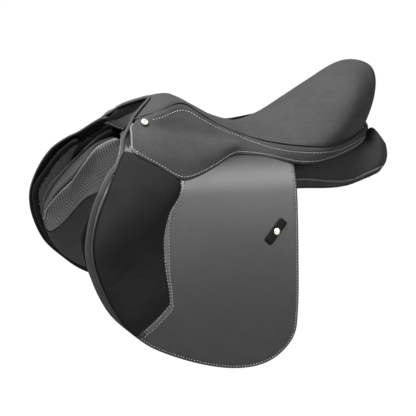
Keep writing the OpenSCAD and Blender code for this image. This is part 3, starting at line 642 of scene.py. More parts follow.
COVER_T, FOAM_T, SEAT_GAP, WEBBING_T, WEBBING_W, WEBBING_AIR = 2.5, 22, 0.3, 2, 24, 1.5
SEAT_STEPS, SEAT_FANS = 8, 26
ARCH_ROWS, ARCH_ROUND, FOAM_START = 20, 0.12, 4
WAIST_ROOF, WAIST_ROW, WAIST_RUN = 0.9, 54, 15
HEM_DROP, HEM_AIR, HEM_BACK = 6, 0.6, 1
SEAM_IN, SEAM_DOWN, ARCH_POWER, WEBBING_ROWS, WEBBING_COLS = 0.35, 0.5, 1.5, (3, 10), 5
COVER_WAVE, WAVE_ALONG, WAVE_SLANT, WAVE_ACROSS, WAVE_SHIFT = 0.8, 9, 2.1, 5, 3


def seat_place(shares):
    """Places from shares of the seat's length, half width and height."""
    s = np.asarray(shares, float)
    return s * [SEAT_LEN, SEAT_HALF, CANTLE_H] - [POMMEL_AHEAD, 0, 0]


PROFILE = seat_place([[x, 0, z] for x, z in PROFILE_SHARES])
SEAM = seat_place(SEAM_SHARES)


def seat_lines(depth):
    """Centre line and side seam at a depth under the cover's face."""
    t = unit(np.vstack([PROFILE[1:2] - PROFILE[:1], PROFILE[2:] - PROFILE[:-2], PROFILE[-1:] - PROFILE[-2:-1]]))
    mid = PROFILE + depth * np.stack([t[:, 2], 0 * t[:, 0], -t[:, 0]], -1)
    return spline(mid, SEAT_STEPS), spline(SEAM - [0, SEAM_IN * depth, SEAM_DOWN * depth], SEAT_STEPS)


def seat_grid(depth, wave_h=0.0):
    """Rows of points across the seat at a depth under its face, from pommel to cantle, with slight waves."""
    mid, edge = seat_lines(depth)
    turn = np.linspace(-math.pi / 2, math.pi / 2, 2 * SEAT_FANS + 1)
    c, s = np.abs(np.cos(turn))[None, :, None], np.sin(turn)[None, :, None]
    row = np.arange(len(mid))[:, None, None]
    peak = np.clip(1 - row / ARCH_ROWS, 0, 1) ** ARCH_POWER
    peak = peak + WAIST_ROOF * np.exp(-((row - WAIST_ROW) / WAIST_RUN) ** 2)
    straight = 1 - (np.hypot(s, ARCH_ROUND) - ARCH_ROUND) / (math.hypot(1, ARCH_ROUND) - ARCH_ROUND)
    c = c * (1 - peak) + straight * peak
    grid = edge[:, None, :] * (1 - c) + mid[:, None, :] * c
    grid[:, :, 1] = edge[:, None, 1] * s[:, :, 0]
    if wave_h:
        run = np.linspace(0, 1, len(mid))[:, None]
        wave = np.sin(WAVE_ALONG * run + WAVE_SLANT * turn) * np.sin(WAVE_ACROSS * turn + WAVE_SHIFT)
        grid[:, :, 2] += wave_h * (wave * np.cos(turn) ** 0.5) * np.sin(math.pi * run) ** 0.5
    return grid


def tucked(grid):
    """The cover's face with its edge turned down behind the skirts' bands."""
    top, low, _ = band_lines()
    seam, top, low = (spline(x, SEAT_STEPS) for x in (SEAM, top + [0, 0, BAND_DROP], low))
    air = np.clip(np.linalg.norm(top - seam, axis=1) - SKIRT_T - HEM_AIR, 0, None)[:, None]
    turned = unit(low - seam) * HEM_DROP + chord_out(seam, low) * air
    left, right = grid[:, 0] + turned * [1, -1, 1], grid[:, -1] + turned
    grid = np.concatenate([left[:, None], grid, right[:, None]], 1)
    return np.concatenate([grid, grid[-1:] - [HEM_BACK, 0, HEM_DROP]])


def webbing_strip(sign, depth):
    """One of the two strips under the foam."""
    first, last = (SEAT_STEPS * row for row in WEBBING_ROWS)
    y = np.linspace(SEAT_GAP, SEAT_GAP + WEBBING_W, WEBBING_COLS)
    faces = []
    for d in (depth, depth + WEBBING_T):
        mid, edge = (line[first:last + 1] for line in seat_lines(d))
        c = np.sqrt(1 - np.minimum(y[None, :] / edge[:, 1:2], 1) ** 2)[:, :, None]
        grid = edge[:, None, :] * (1 - c) + mid[:, None, :] * c
        grid[:, :, 1] = sign * y
        faces.append(grid[:, ::sign])
    return shell(*faces)


def make_seat():
    """Cover, foam and webbing; gives back the cover's face."""
    outer = seat_grid(0, COVER_WAVE)
    cover = piece("seat_cover_soft", shell(tucked(outer), tucked(seat_grid(COVER_T))), [SEAT_SUEDE])
    settle(cover, "saddle", "seat_suede", "seat_cover")
    depth = COVER_T + SEAT_GAP
    foam_faces = (seat_grid(d)[FOAM_START:] for d in (depth, depth + FOAM_T))
    foam = piece("seat_foam_pad", shell(*foam_faces), [FOAM])
    settle(foam, "saddle", "foam", "seat_foam")
    strips = together(*(webbing_strip(sign, depth + FOAM_T + WEBBING_AIR) for _, sign in SIDES))[:2]
    settle(piece("seat_webbing_strips", strips, [WEBBING]), "saddle", "webbing", "seat_webbing")
    return outer


# Skirts: a leaf shaped over its bend line, and the fixed band behind it

SKIRT_T, SKIRT_STAND, SKIRT_SWELL, BAND_SWELL = 4.5, 8, 10, 2
FLAP_LEN, FLAP_AHEAD, FLAP_DROP, FLAP_T = 410, 288, 436, 4


def flap_place(shares):
    """Places on the bed from shares of the flap's length and drop."""
    return np.asarray(shares, float) * [FLAP_LEN, FLAP_DROP] - [FLAP_AHEAD, 0]


AXIS_PLACES, AXIS_STAND = flap_place([[0.2691, -0.0103], [0.728, 0.0571]]), np.array([18.7, 3.95])
AXIS_ENDS = bed_at(AXIS_PLACES[:, 0], AXIS_PLACES[:, 1], AXIS_STAND)
BAND_SHARES = [[-0.058, 0.324, -0.104], [-0.014, 0.22, -0.116], [-0.02, 0.115, -0.143], [-0.037, 0.045, -0.18],
               [-0.042, 0.041, -0.17], [-0.028, 0.057, -0.136], [-0.019, 0.082, -0.116], [-0.005, 0.09, -0.109],
               [0.009, 0.049, -0.109], [0.019, 0.008, -0.102], [0.028, -0.033, -0.109]]
AXIS_SEAM_SHARES = [0, 0.24, 0.5, 0.7, 0.86, 1]
SKIRT_EDGE_SHARES = [[0.254, 0.099], [0.276, 0.115], [0.324, 0.142], [0.378, 0.177], [0.42, 0.204], [0.466, 0.218],
                     [0.534, 0.202], [0.593, 0.179], [0.656, 0.149], [0.717, 0.119]]
AXIS_LAST = len(AXIS_SEAM_SHARES) - 1
SKIRT_COLS = 34
CORNER_SHARE, CORNER_RUN, TOP_TRIM, TOP_RUN = 0.07, 0.06, 0.04, 0.05
FRONT_RUN, FRONT_SINK, FRONT_AHEAD, FRONT_FLAT, TOP_BACK = 0.25, 8, 3, 0.7, 0.05
RIDGE_W, RIDGE_H, WAIST_SINK = 11, 1.1, 2.6
BACK_REACH, BACK_RISE, LEAF_ROWS = (10, 11), 18, 44
STUD_ROW, RIDGE_FALL, RIDGE_ROWS = 8, 8, 26
BAND_DROP, BAND_STAND, SINK_KNOT, SINK_RUN = 1.2, 2.4, 6, 2.2
SKIRT_STEPS, REAR_STEPS, SMOOTH_ROUNDS, BACK_TURNS = 10, 6, 6, (15, 30, 45, 60, 75, 89.4)
THIRD_SWELL, CORNER_POWER, TOP_POWER = SKIRT_SWELL * 8 / 9, 2.2, 2
SKIRT_DOWN_AT, SKIRT_TURN, LOW_STITCH, STITCH_LIFT = (-85, 60, 8), (4, 11.0), 3.0, 0.1
RAW_FROM, RAW_OUT, HEM_OUT = 8, 0.2, 0.1


def on_axis(share):
    """Points on the skirt's bend line."""
    return AXIS_ENDS[0] + (AXIS_ENDS[1] - AXIS_ENDS[0]) * np.asarray(share, float)[..., None]


def chord_out(a, b):
    """The outward direction square to the way down from a to b."""
    v = b - a
    return unit(np.stack([0 * v[..., 0], -v[..., 2], v[..., 1]], -1))


def band_lines():
    """The band's upper edge, its lower edge with the bend line, and the part of that behind the leaf."""
    low_rear = SEAM[AXIS_LAST:] + np.asarray(BAND_SHARES) * [SEAT_LEN, SEAT_HALF, CANTLE_H]
    low = np.vstack([on_axis(AXIS_SEAM_SHARES), low_rear[1:]])
    sink = WAIST_SINK * np.exp(-((np.arange(len(SEAM)) - SINK_KNOT) / SINK_RUN) ** 2)[:, None]
    top = SEAM + chord_out(SEAM, low) * (SKIRT_T + BAND_STAND - sink) - [0, 0, BAND_DROP]
    return top, low, low_rear


def leaf_rows(top):
    """Rows of the leaf, each from the seat seam over the bend line to the lower edge."""
    shares = spline(np.array(AXIS_SEAM_SHARES)[:, None], SKIRT_STEPS)[:, 0]
    top_line = spline(top[:AXIS_LAST + 1], SKIRT_STEPS)
    edge = spline(flap_place(SKIRT_EDGE_SHARES), SKIRT_STEPS)
    run = (edge[:, 0] - edge[0, 0]) / (edge[-1, 0] - edge[0, 0])
    rows = []
    for s in np.linspace(0, 1, LEAF_ROWS):
        front = max(0, 1 - s / FRONT_RUN)
        t = np.array([np.interp(s + TOP_BACK * front, shares, top_line[:, k]) for k in range(3)])
        e = bed_at(np.interp(s, run, edge[:, 0]), np.interp(s, run, edge[:, 1]), SKIRT_STAND)
        a = on_axis(s)
        sink = chord_out(t, a) * FRONT_SINK * front
        t, a, e = t - sink, a - sink, e - np.array([FRONT_AHEAD * front, 0, 0])
        out, band_out = chord_out(a, e), chord_out(t, a)
        third = out * (THIRD_SWELL * (1 - FRONT_FLAT * front))
        knots = [t, (t + a) / 2 + band_out * BAND_SWELL, a + (out + band_out) * BAND_SWELL / 2,
                 a + (e - a) / 3 + third, a + (e - a) * 2 / 3 + third, e]
        row = spline(knots, SKIRT_STEPS)
        trim = CORNER_SHARE * max(0, 1 - s / CORNER_RUN) ** CORNER_POWER
        start = TOP_TRIM * max(0, 1 - s / TOP_RUN) ** TOP_POWER
        rows.append(along(row, lengths(row)[-1] * np.linspace(start, 1 - trim, SKIRT_COLS)))
    return rows


def skirt_grid():
    """Rows from the front edge round to the middle of the back, each from the seat seam to the lower edge."""
    top, _, low_rear = band_lines()
    rows = leaf_rows(top)
    rear_top, rear_low = spline(top[AXIS_LAST:], REAR_STEPS), spline(low_rear, REAR_STEPS)
    for t, e in zip(rear_top[1:], rear_low[1:]):
        swollen = [t, (t + e) / 2 + chord_out(t, e) * BAND_SWELL, e]
        rows.append(evenly(spline(swollen, SKIRT_STEPS), SKIRT_COLS))
    last = rows[-1]
    reach = PROFILE[-1][0] + np.linspace(*BACK_REACH, SKIRT_COLS) - rear_top[-1][0]
    for turn in np.radians(BACK_TURNS):
        ahead = np.stack([reach, 0 * reach, BACK_RISE + 0 * reach], -1) * math.sin(turn)
        rows.append(last * [1, math.cos(turn), 1] + ahead)
    grid = np.array(rows)
    for _ in range(SMOOTH_ROUNDS):
        grid[1:-1] = 0.5 * grid[1:-1] + 0.25 * (grid[:-2] + grid[2:])
    out = grid_out(grid)
    for row, ways, drop in zip(grid, out, ridge_drop(len(grid))):
        row += ways * (RIDGE_H * np.sin(math.pi * np.clip(lengths(row) / drop, 0, 1)))[:, None]
    return grid


def ridge_drop(count):
    """How far below the seam the ridge ends, row by row."""
    return RIDGE_W + RIDGE_FALL * np.clip(1 - np.arange(count) / RIDGE_ROWS, 0, 1)


def skirt_line(grid, out, at, from_edge):
    """The line on the skirt so far below the seam, or above the lower edge."""
    points, outs = [], []
    for row, ways, away in zip(grid, out, at):
        s = lengths(row)
        d = s[-1] - away if from_edge else away
        points.append(along(row, [d])[0])
        outs.append([np.interp(d, s, ways[:, k]) for k in range(3)])
    points, outs = np.array(points), np.array(outs)
    return points + STITCH_LIFT * outs, outs


def bend_across(mid, line, down, before, after, sign):
    """The two points across a bend line between which a sheet turns, in metres."""
    down = unit(down - line * np.dot(down, line))
    flip = np.array([1, sign, 1]) * MM
    return tuple((mid - down * before) * flip), tuple((mid + down * after) * flip)


def skirt_bend(sign):
    """Where the skirt's leaf turns."""
    mid = on_axis(0.5)
    line = unit(AXIS_ENDS[1] - AXIS_ENDS[0])
    return bend_across(mid, line, bed_at(*SKIRT_DOWN_AT) - mid, *SKIRT_TURN, sign)


def make_skirts():
    """Leaves and rear bands, with a turned hem, the raw front edge, whose pale look is partly painted highlight, and
    two rows of stitches.
    """
    grid = skirt_grid()
    out = grid_out(grid)
    inner = grid - out * SKIRT_T
    hem = grid[:, -1] - out[:, -1] * SKIRT_T / 2
    front = grid[0, :] - out[0, :] * SKIRT_T / 2
    # The raw front edge is pale: partly its own colour, partly painted highlight where it catches the light.
    raw = tube(np.vstack([front[RAW_FROM:-1], hem[:3]]), SKIRT_T / 2 + RAW_OUT)
    leaf, rear = slice(0, LEAF_ROWS), slice(LEAF_ROWS - 1, None)
    leaf_mesh = together(shell(grid[leaf], inner[leaf]), tube(hem[1:LEAF_ROWS], SKIRT_T / 2 + HEM_OUT), raw)
    rear_mesh = together(shell(grid[rear], inner[rear]), tube(hem[rear], SKIRT_T / 2 + HEM_OUT))
    drop = ridge_drop(len(grid))
    top_row = skirt_line(grid, out, drop, False)
    low_row = skirt_line(grid, out, LOW_STITCH + 0 * drop, True)
    leaf_stitches = [tuple(x[STUD_ROW:LEAF_ROWS] for x in top_row), tuple(x[leaf] for x in low_row)]
    rear_stitches = [tuple(x[rear] for x in row) for row in (top_row, low_row)]
    looks = [SEAT_SUEDE, SEAT_SUEDE, PALE_EDGE_AND_HIGHLIGHT]
    leaves = both("skirt_soft_", leaf_mesh, looks, "skirt_", "seat_suede", "skirt_", "skirt_band_", bend=skirt_bend)
    sew("skirt_stitches_", leaf_stitches, "skirt_", bend=skirt_bend)
    for strip in both("skirt_rear_band_", rear_mesh, looks[:2], "saddle", "seat_suede", "skirt_band_"):
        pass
    sew("skirt_rear_stitches_", rear_stitches, "saddle")


# Flaps and what is cut flat with them

FLAP_SHARES = [[0.227, 0], [0.178, 0.12], [0.122, 0.183], [0.073, 0.25], [0.036, 0.32], [0.008, 0.415],
               [0.003, 0.5], [0.031, 0.604], [0.098, 0.722], [0.195, 0.81], [0.315, 0.89], [0.524, 0.968],
               [0.714, 1.002], [0.865, 0.98], [0.971, 0.892], [0.994, 0.762], [0.998, 0.55], [1.001, 0.321]]
ROOT_TOP_SHARES = [[0.998, 0.13], [0.895, 0.105], [0.8, 0.085], [0.7, 0.062], [0.556, 0.018], [0.36, 0], [0.27, -0.02],
                   [0.24, -0.02]]
REAR_TOP_SHARES = [0.999, 0.15]
SWEAT_SHARES = [[0.293, 0.05], [0.263, 0.092], [0.193, 0.229], [0.078, 0.385], [0.054, 0.445], [0.044, 0.507],
                [0.054, 0.562], [0.1, 0.667], [0.144, 0.729], [0.195, 0.78], [0.317, 0.851], [0.507, 0.9],
                [0.702, 0.922], [0.837, 0.908], [0.927, 0.837], [0.951, 0.711], [0.956, 0.46], [0.956, 0.252]]
SWEAT_TOP_SHARES = [[0.95, 0.175], [0.85, 0.154], [0.356, 0.154], [0.325, 0.09]]
BLOCK_SHARES = [[0.15, 0.165], [0.093, 0.235], [0.04, 0.33], [0.001, 0.42], [0.012, 0.51], [0.05, 0.61],
                [0.115, 0.71], [0.19, 0.765], [0.2, 0.7], [0.165, 0.62], [0.145, 0.53], [0.14, 0.44],
                [0.152, 0.34], [0.165, 0.25], [0.18, 0.18]]
KNEE_SHARES = [[0.212, 0.098], [0.246, 0.098], [0.305, 0.122], [0.37, 0.158], [0.421, 0.193], [0.443, 0.222],
               [0.445, 0.25], [0.43, 0.289], [0.385, 0.351], [0.358, 0.433], [0.354, 0.502], [0.36, 0.573],
               [0.373, 0.654], [0.376, 0.704], [0.357, 0.728], [0.293, 0.781], [0.226, 0.82], [0.196, 0.804],
               [0.144, 0.745], [0.101, 0.67], [0.064, 0.592], [0.041, 0.514], [0.041, 0.436], [0.062, 0.36],
               [0.098, 0.282], [0.148, 0.197]]
KNEE_FINE = 12
KNEE_MID, KNEE_LOOP = flap_place([0.22, 0.46]), spline(flap_place(KNEE_SHARES), KNEE_FINE, True)
KNEE_CROWN, KNEE_BASE, KNEE_EDGE = 12, 1.3, 1.4
KNEE_WAVE, KNEE_PEAK_Q, KNEE_WAVE_RUN, KNEE_SLANT, TRIM_END = 7, 150, 205, 0.45, 187
KNEE_SINK, KNEE_EASE, KNEE_CROWN_POWERS, KNEE_HOLLOW_POWER = 1.2, 0.6, (2.4, 0.95), 4
KNEE_FRONT, KNEE_BACK, KNEE_CORD_R, KNEE_CORD_LIFT = 16 * KNEE_FINE, 5 * KNEE_FINE, 1.6, 0.4
TRIM_W, TRIM_OFFS, TRIM_STEP, TRIM_EASE, TRIM_ROWS, TRIM_ROW_OFF = 13, (0.1, 1.6), 4, 0.5, (1.8, 11.0), 1.7
KNEE_STEP, FLAP_STEP, SWELL_CAP = 5, 7, 4
FINE_STEP, STITCH_IN, STITCH_NEAR, STITCH_OFF, STITCH_FROM = 4, 4, 5.5, 0.15, 95
# The third and fourth names here bound the flap's patch of painted highlight in front of the skirt.
LINING_IN, LINING_END, HIGHLIGHT_PATCH_P, HIGHLIGHT_PATCH_Q, SKIN = 30, -60, -178, (29, 45), 0.1
BEND_PLACES, BEND_STAND, BEND_REACH = flap_place([[0.1, 0.067], [1.02, 0.176]]), 1.5, 9.0
BAR_P, BAR_LEN, BAR_Q, BAR_H, WINDOW_AIR, WINDOW_DROP = -148, 95, 36, 10, 3, 2.5
SWEAT_OFF, SWEAT_T, BLOCK_BINDING, BLOCK_FRONT = -13, 3.5, 11, 7
BLOCK_LOW, BLOCK_HIGH, BLOCK_STEP, BLOCK_EASE, BLOCK_FINE = SWEAT_OFF + 0.3, -FLAP_T - 1, 4, 2.6, 8
EDGE_STEPS, ROOT_STEPS, REAR_TOP_STEPS, SWEAT_STEPS = 10, 4, 30, 8
FLAP_EDGE = spline(flap_place(FLAP_SHARES), EDGE_STEPS)
FLARE, FLARE_FROM, FLARE_RUN, FLARE_TOP, FLARE_FALL, FLARE_POWER = 14, -60, 220, 20, 90, 1.5
RIPPLE, RIPPLE_P, RIPPLE_Q, RIPPLE_FROM, RIPPLE_RUN = 0.5, 55, 70, 110, 80


def flap_bend(sign):
    """Where the flap turns."""
    ends = bed_at(BEND_PLACES[:, 0], BEND_PLACES[:, 1], 0) + [0, BEND_STAND, 0]
    q = BEND_PLACES[:, 1].mean()
    down = bed_at(0, q + 1, 0) - bed_at(0, q, 0)
    return bend_across(ends.mean(0), unit(ends[1] - ends[0]), down, BEND_REACH, BEND_REACH, sign)


def flare(p, q):
    """How far the flap's front stands out from the bed, with its slight waves."""
    p, q = np.asarray(p, float), np.asarray(q, float)
    out = rise(p, FLARE_FROM, -FLARE_RUN) * rise(q, FLARE_TOP, FLARE_FALL)
    waves = RIPPLE * np.sin(p / RIPPLE_P + 1) * np.sin(q / RIPPLE_Q) * rise(q, RIPPLE_FROM, RIPPLE_RUN)
    return waves + FLARE * out ** FLARE_POWER


def flap_at(p, q, off):
    """A point over the flap's face."""
    return bed_at(p, q, off + flare(p, q))


def flap_line(line, off):
    """A line on the flap as points and outward directions."""
    return flap_at(line[:, 0], line[:, 1], off), bed_out(line[:, 0], line[:, 1])


def flap_kinds(loop, faces, holes):
    """Each face's look: smooth, dark edge inside, lining, or a patch of painted highlight in front of the skirt."""
    flat = sheet(loop, -FLAP_T, 0, flat_at, FLAP_STEP, holes=holes)[0]
    spots = np.array([flat[list(f)].mean(0) for f in faces])
    lined = inside(spots[:, :2], inset(counter(spaced(loop, FINE_STEP)), LINING_IN))
    kinds = []
    for (p, q, off), inner in zip(spots, lined):
        # Painted highlight: a pale patch on the flap's face in front of the skirt, where the flap catches the light.
        if off > -SKIN and p < HIGHLIGHT_PATCH_P and HIGHLIGHT_PATCH_Q[0] < q < HIGHLIGHT_PATCH_Q[1]:
            kinds.append(3)
        elif off > -FLAP_T + SKIN or p > LINING_END:
            kinds.append(0)
        else:
            kinds.append(2 if inner else 1)
    return kinds


def make_flaps():
    """Flap and root as one sheet, with a window for the stirrup bar and stitches along the rear edge."""
    loop = np.vstack([FLAP_EDGE, spline(flap_place(ROOT_TOP_SHARES), ROOT_STEPS)])
    x0, x1 = BAR_P - WINDOW_AIR, BAR_P + BAR_LEN + WINDOW_AIR
    q0, q1 = BAR_Q - BAR_H / 2 - WINDOW_AIR, BAR_Q + WINDOW_DROP * BAR_H + WINDOW_AIR
    holes = [np.array([[x0, q0], [x1, q0], [x1, q1], [x0, q1]])]
    verts, faces = sheet(loop, -FLAP_T, 0, flap_at, FLAP_STEP, holes=holes)
    mesh = verts, faces, flap_kinds(loop, faces, holes)
    flat_area = abs(area_of(loop)) * MM * MM
    rear = np.vstack([FLAP_EDGE[STITCH_FROM:], spline([FLAP_EDGE[-1], flap_place(REAR_TOP_SHARES)], REAR_TOP_STEPS)])
    row = inset(counter(spaced(loop, FINE_STEP)), STITCH_IN)
    near = [np.min(np.linalg.norm(rear - r, axis=1)) < STITCH_NEAR for r in row]
    start = next(i for i in range(len(row)) if near[i] and not near[i - 1])
    row = np.roll(row, -start, 0)[np.roll(near, -start)]
    # The last look is the painted highlight of the flap's patch.
    looks = [FLAP_LEATHER, BLACK_LEATHER, BLOCK_COVER, PALE_EDGE_AND_HIGHLIGHT]
    flaps = both("flap_sheet_", mesh, looks, "flap_", "flap_leather", "flap_", "flap_root_", bend=flap_bend)
    sew("flap_stitches_", [flap_line(row, STITCH_OFF)], "flap_", bend=flap_bend)


def knee_crown(p, q):
    """Height of the knee pad's face over its edge: a crown with a shallow hollow for the knee."""
    ring = KNEE_LOOP - KNEE_MID
    turn = np.arctan2(ring[:, 1], ring[:, 0])
    order = np.argsort(turn)
    x, y = p - KNEE_MID[0], q - KNEE_MID[1]
    reach = np.interp(np.arctan2(y, x), turn[order], np.hypot(*ring[order].T), period=2 * math.pi)
    r = np.clip(np.hypot(x, y) / reach, 0, 1)
    hollow = KNEE_WAVE * np.cos((q + KNEE_SLANT * x - KNEE_PEAK_Q) * 2 * math.pi / KNEE_WAVE_RUN)
    inner, outer = KNEE_CROWN_POWERS
    return KNEE_CROWN * (1 - r ** inner) ** outer + hollow * (1 - r ** KNEE_HOLLOW_POWER)


def knee_at(p, q, off):
    """A point of the knee pad, whose upper face is crowned."""
    return flap_at(p, q, off + np.where(off > KNEE_BASE + KNEE_EDGE / 2, knee_crown(p, q), 0))


def beyond_knee(line, d):
    """The line moved out from the knee pad's middle."""
    away = line - KNEE_MID
    return KNEE_MID + away * (1 + d / np.linalg.norm(away, axis=1)[:, None])


def make_knee_pads():
    """Pads with a cord round the front and a stitched trim round the back."""
    low, high = KNEE_BASE - KNEE_SINK, KNEE_BASE + KNEE_EDGE
    verts, faces = sheet(KNEE_LOOP, low, high, knee_at, KNEE_STEP, KNEE_EASE)
    rim = len(spaced(KNEE_LOOP, KNEE_STEP * RIM_STEP))
    face = (len(verts) - 2 * rim) // 2
    verts = swell(verts, faces, range(face, len(verts)), SWELL_CAP)
    front, back = np.vstack([KNEE_LOOP[KNEE_FRONT:], KNEE_LOOP[:1]]), KNEE_LOOP[KNEE_BACK:TRIM_END]
    cord = tube(flap_line(front, KNEE_BASE + KNEE_CORD_LIFT)[0], KNEE_CORD_R)
    mesh = together((verts, faces), cord)
    strip = np.vstack([back, beyond_knee(back, TRIM_W)[::-1]])
    trim = sheet(strip, *TRIM_OFFS, flap_at, TRIM_STEP, TRIM_EASE)
    rows = [flap_line(beyond_knee(back, d), TRIM_ROW_OFF) for d in TRIM_ROWS]
    for pad in both("knee_pad_soft_", mesh, [KNEE_SUEDE, BLACK_LEATHER], "flap_", "knee_suede", "knee_pad_"):
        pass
    both("knee_trim_", trim, [EDGE_LEATHER], "flap_", "flap_leather")
    sew("knee_stitches_", rows, "flap_")


def make_sweat_flaps():
    """Sweat flaps and the knee blocks on them, bound at the front."""
    loop = np.vstack([spline(flap_place(SWEAT_SHARES), SWEAT_STEPS), flap_place(SWEAT_TOP_SHARES)])
    mesh = sheet(loop, SWEAT_OFF - SWEAT_T, SWEAT_OFF)
    flat_area = abs(area_of(loop)) * MM * MM
    block_loop = spline(flap_place(BLOCK_SHARES), BLOCK_FINE, True)
    verts, faces = sheet(block_loop, BLOCK_LOW, BLOCK_HIGH, bed_at, BLOCK_STEP, BLOCK_EASE)
    flat = sheet(block_loop, BLOCK_LOW, BLOCK_HIGH, flat_at, BLOCK_STEP, BLOCK_EASE)[0]
    front = block_loop[:BLOCK_FRONT * BLOCK_FINE]
    spots = [flat[list(f)].mean(0)[:2] for f in faces]
    bound = [int(np.linalg.norm(front - spot, axis=1).min() < BLOCK_BINDING) for spot in spots]
    flaps = both("sweat_flap_sheet_", mesh, [TRIM_SUEDE], "saddle", "trim_suede", "sweat_flap_")
    looks = [BLOCK_COVER, BLACK_LEATHER]
    for pad in both("knee_block_soft_", (verts, faces, bound), looks, "saddle", "foam", "knee_block_"):
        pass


# Panels

PANEL_LEN, PANEL_AHEAD, PANEL_T, PANEL_OFF = 600, 266, 45, -18.5
PANEL_RUN = [0, 0.026, 0.067, 0.124, 0.165, 0.206, 0.337, 0.5, 0.663, 0.827, 0.934, 0.97, 1]
PANEL_EDGES = [
    [[0.493, 0], [0.41, 0], [0.32, 0], [0.2, 0], [0.155, 0], [0.165, 0], [0.16, 0], [0.15, 0], [0.14, 0],
     [0.115, -0.23], [0.094, -0.22], [0.079, -0.25], [0.086, 0.08]],
    [[0.532, 0], [0.585, 0], [0.55, 0], [0.436, 0], [0.4, 0], [0.36, 0], [0.3, 0], [0.257, 0.02],
     [0.232, 0.08], [0.238, 0.15], [0.192, -0.12], [0.171, -0.11], [0.135, 0.1]],
    [[0.562, 0.07], [0.64, 0.07], [0.606, 0.09], [0.489, 0.11], [0.45, 0.13], [0.413, 0.13],
     [0.344, 0.16], [0.298, 0.25], [0.275, 0.45], [0.27, 0.65], [0.228, 0.41], [0.207, 0.43], [0.156, 0.4]],
    [[0.55, 0.2], [0.53, 0.33], [0.46, 0.42], [0.33, 0.51], [0.28, 0.56], [0.24, 0.6], [0.206, 0.69],
     [0.19, 0.8], [0.21, 1.05], [0.25, 1.22], [0.231, 1.16], [0.203, 1.03], [0.142, 0.71]],
    [[0.516, 0.2], [0.424, 0.33], [0.34, 0.42], [0.2, 0.56], [0.075, 0.65], [0.08, 0.77],
     [0.064, 0.87], [0.06, 0.96], [0.064, 1], [0.069, 1.05], [0.065, 1.09], [0.065, 0.91], [0.074, 0.64]],
    [[0.493, 0.13], [0.399, 0.16], [0.307, 0.2], [0.165, 0.26], [0.05, 0.32], [0.055, 0.45],
     [0.028, 0.48], [0.018, 0.55], [0.018, 0.45], [0.023, 0.38], [0.011, 0.23], [0, 0.07], [0.048, 0.34]]]
PANEL_STEPS, RING_STEPS, RING_FINE = 8, 8, 40
# Places round a ring are counted in rails: the bearing leather lies from rail 2 to rail 4.
BEARING_LOW, BEARING_TOP = 2, 4
SEAM_RUN = ([0, 0.067, 0.13, 0.36, 0.5, 1], [4, 4, 5, 5, 4, 4])
HUMP, HUMP_X, HUMP_RUN, REAR_PULL, PIPE_DROP = 12, 298, 15, 2.5, 4.5
CREST, CREST_X, CREST_RUN = 2.5, 316, 9
REAR_RISE = ([60, 140, 200, 250, 290, 310, 335], [2, 5, 2, 0, 4.5, 5, 2])
INNER_FROM, INNER_TO, INNER_RUN, OUTER_TOP, OUTER_RUN = 4.5, 5.7, 0.4, 1.2, 1.3
UNDER_MID, UNDER_REACH, PULL_X, PULL_RUN = 2.3, 1.6, 260, 60
ROLL_H, ROLL_IN, ROLL_RUN, PANEL_PRESSURE = 2.6, 1.5, 2.2, 0.3
HELD_ROWS, CAP_ROWS, THIN_ROWS, THIN_END, DROP_FROM, DROP_RUN = 2, 16, 6, 0.15, 0.68, 0.32
PIPING, SEAM_CORD = (0.8, 1.9), (0.3, 1.5)
DOT_FROM, DOT_TO, DOT_PITCH, DOT_ROWS, DOT_SIZES = 2.5, 2, 0.9, 3, (6.0, 2.6, 2.6, 0.9)


def panel_rings():
    """Rings round the panel from front to back; one column of each lies on the bearing leather's upper seam."""
    run = np.array(PANEL_RUN) * PANEL_LEN - PANEL_AHEAD
    rails = [spline(bed_at(run, e[:, 0] * FLAP_DROP, PANEL_OFF - e[:, 1] * PANEL_T), PANEL_STEPS)
             for e in np.array(PANEL_EDGES)]
    shares = spline(np.array(PANEL_RUN)[:, None], PANEL_STEPS)[:, 0]
    sides = len(rails)
    place = np.arange(sides * RING_STEPS) / RING_STEPS
    rings = []
    for i, share in enumerate(shares):
        ring = spline([rail[i] for rail in rails], RING_FINE, True)
        seam = np.interp(share, *SEAM_RUN)
        at = np.interp(place, [0, BEARING_LOW, BEARING_TOP, sides], [0, BEARING_LOW, seam, sides]) * RING_FINE
        rings.append(np.stack([np.interp(at, np.arange(len(ring) + 1), np.append(x, x[0])) for x in ring.T], -1))
    rings = np.array(rings)
    x = rings[..., 0]
    inner = rise(place, INNER_FROM, INNER_RUN)
    top = np.where(place > sides / 2, inner, np.clip(OUTER_TOP - place / OUTER_RUN, 0, 1))
    ramp = rise(x, HUMP_X, HUMP_RUN)
    rings[..., 2] += HUMP * ramp ** 2 * (3 - 2 * ramp) * top
    crest = CREST * np.exp(-((x - CREST_X) / CREST_RUN) ** 2)
    rings[..., 2] += crest * (inner * rise(place, INNER_TO, -INNER_RUN))
    rings[..., 2] += np.interp(x, *REAR_RISE) * np.clip(UNDER_REACH - np.abs(place - UNDER_MID), 0, 1)
    rings[..., 0] -= REAR_PULL * rise(x, PULL_X, PULL_RUN)
    return rings


def between(rows, k, share):
    """Points of rows between a column and the next one."""
    return rows[:, k] * (1 - share) + rows[:, (k + 1) % rows.shape[1]] * share


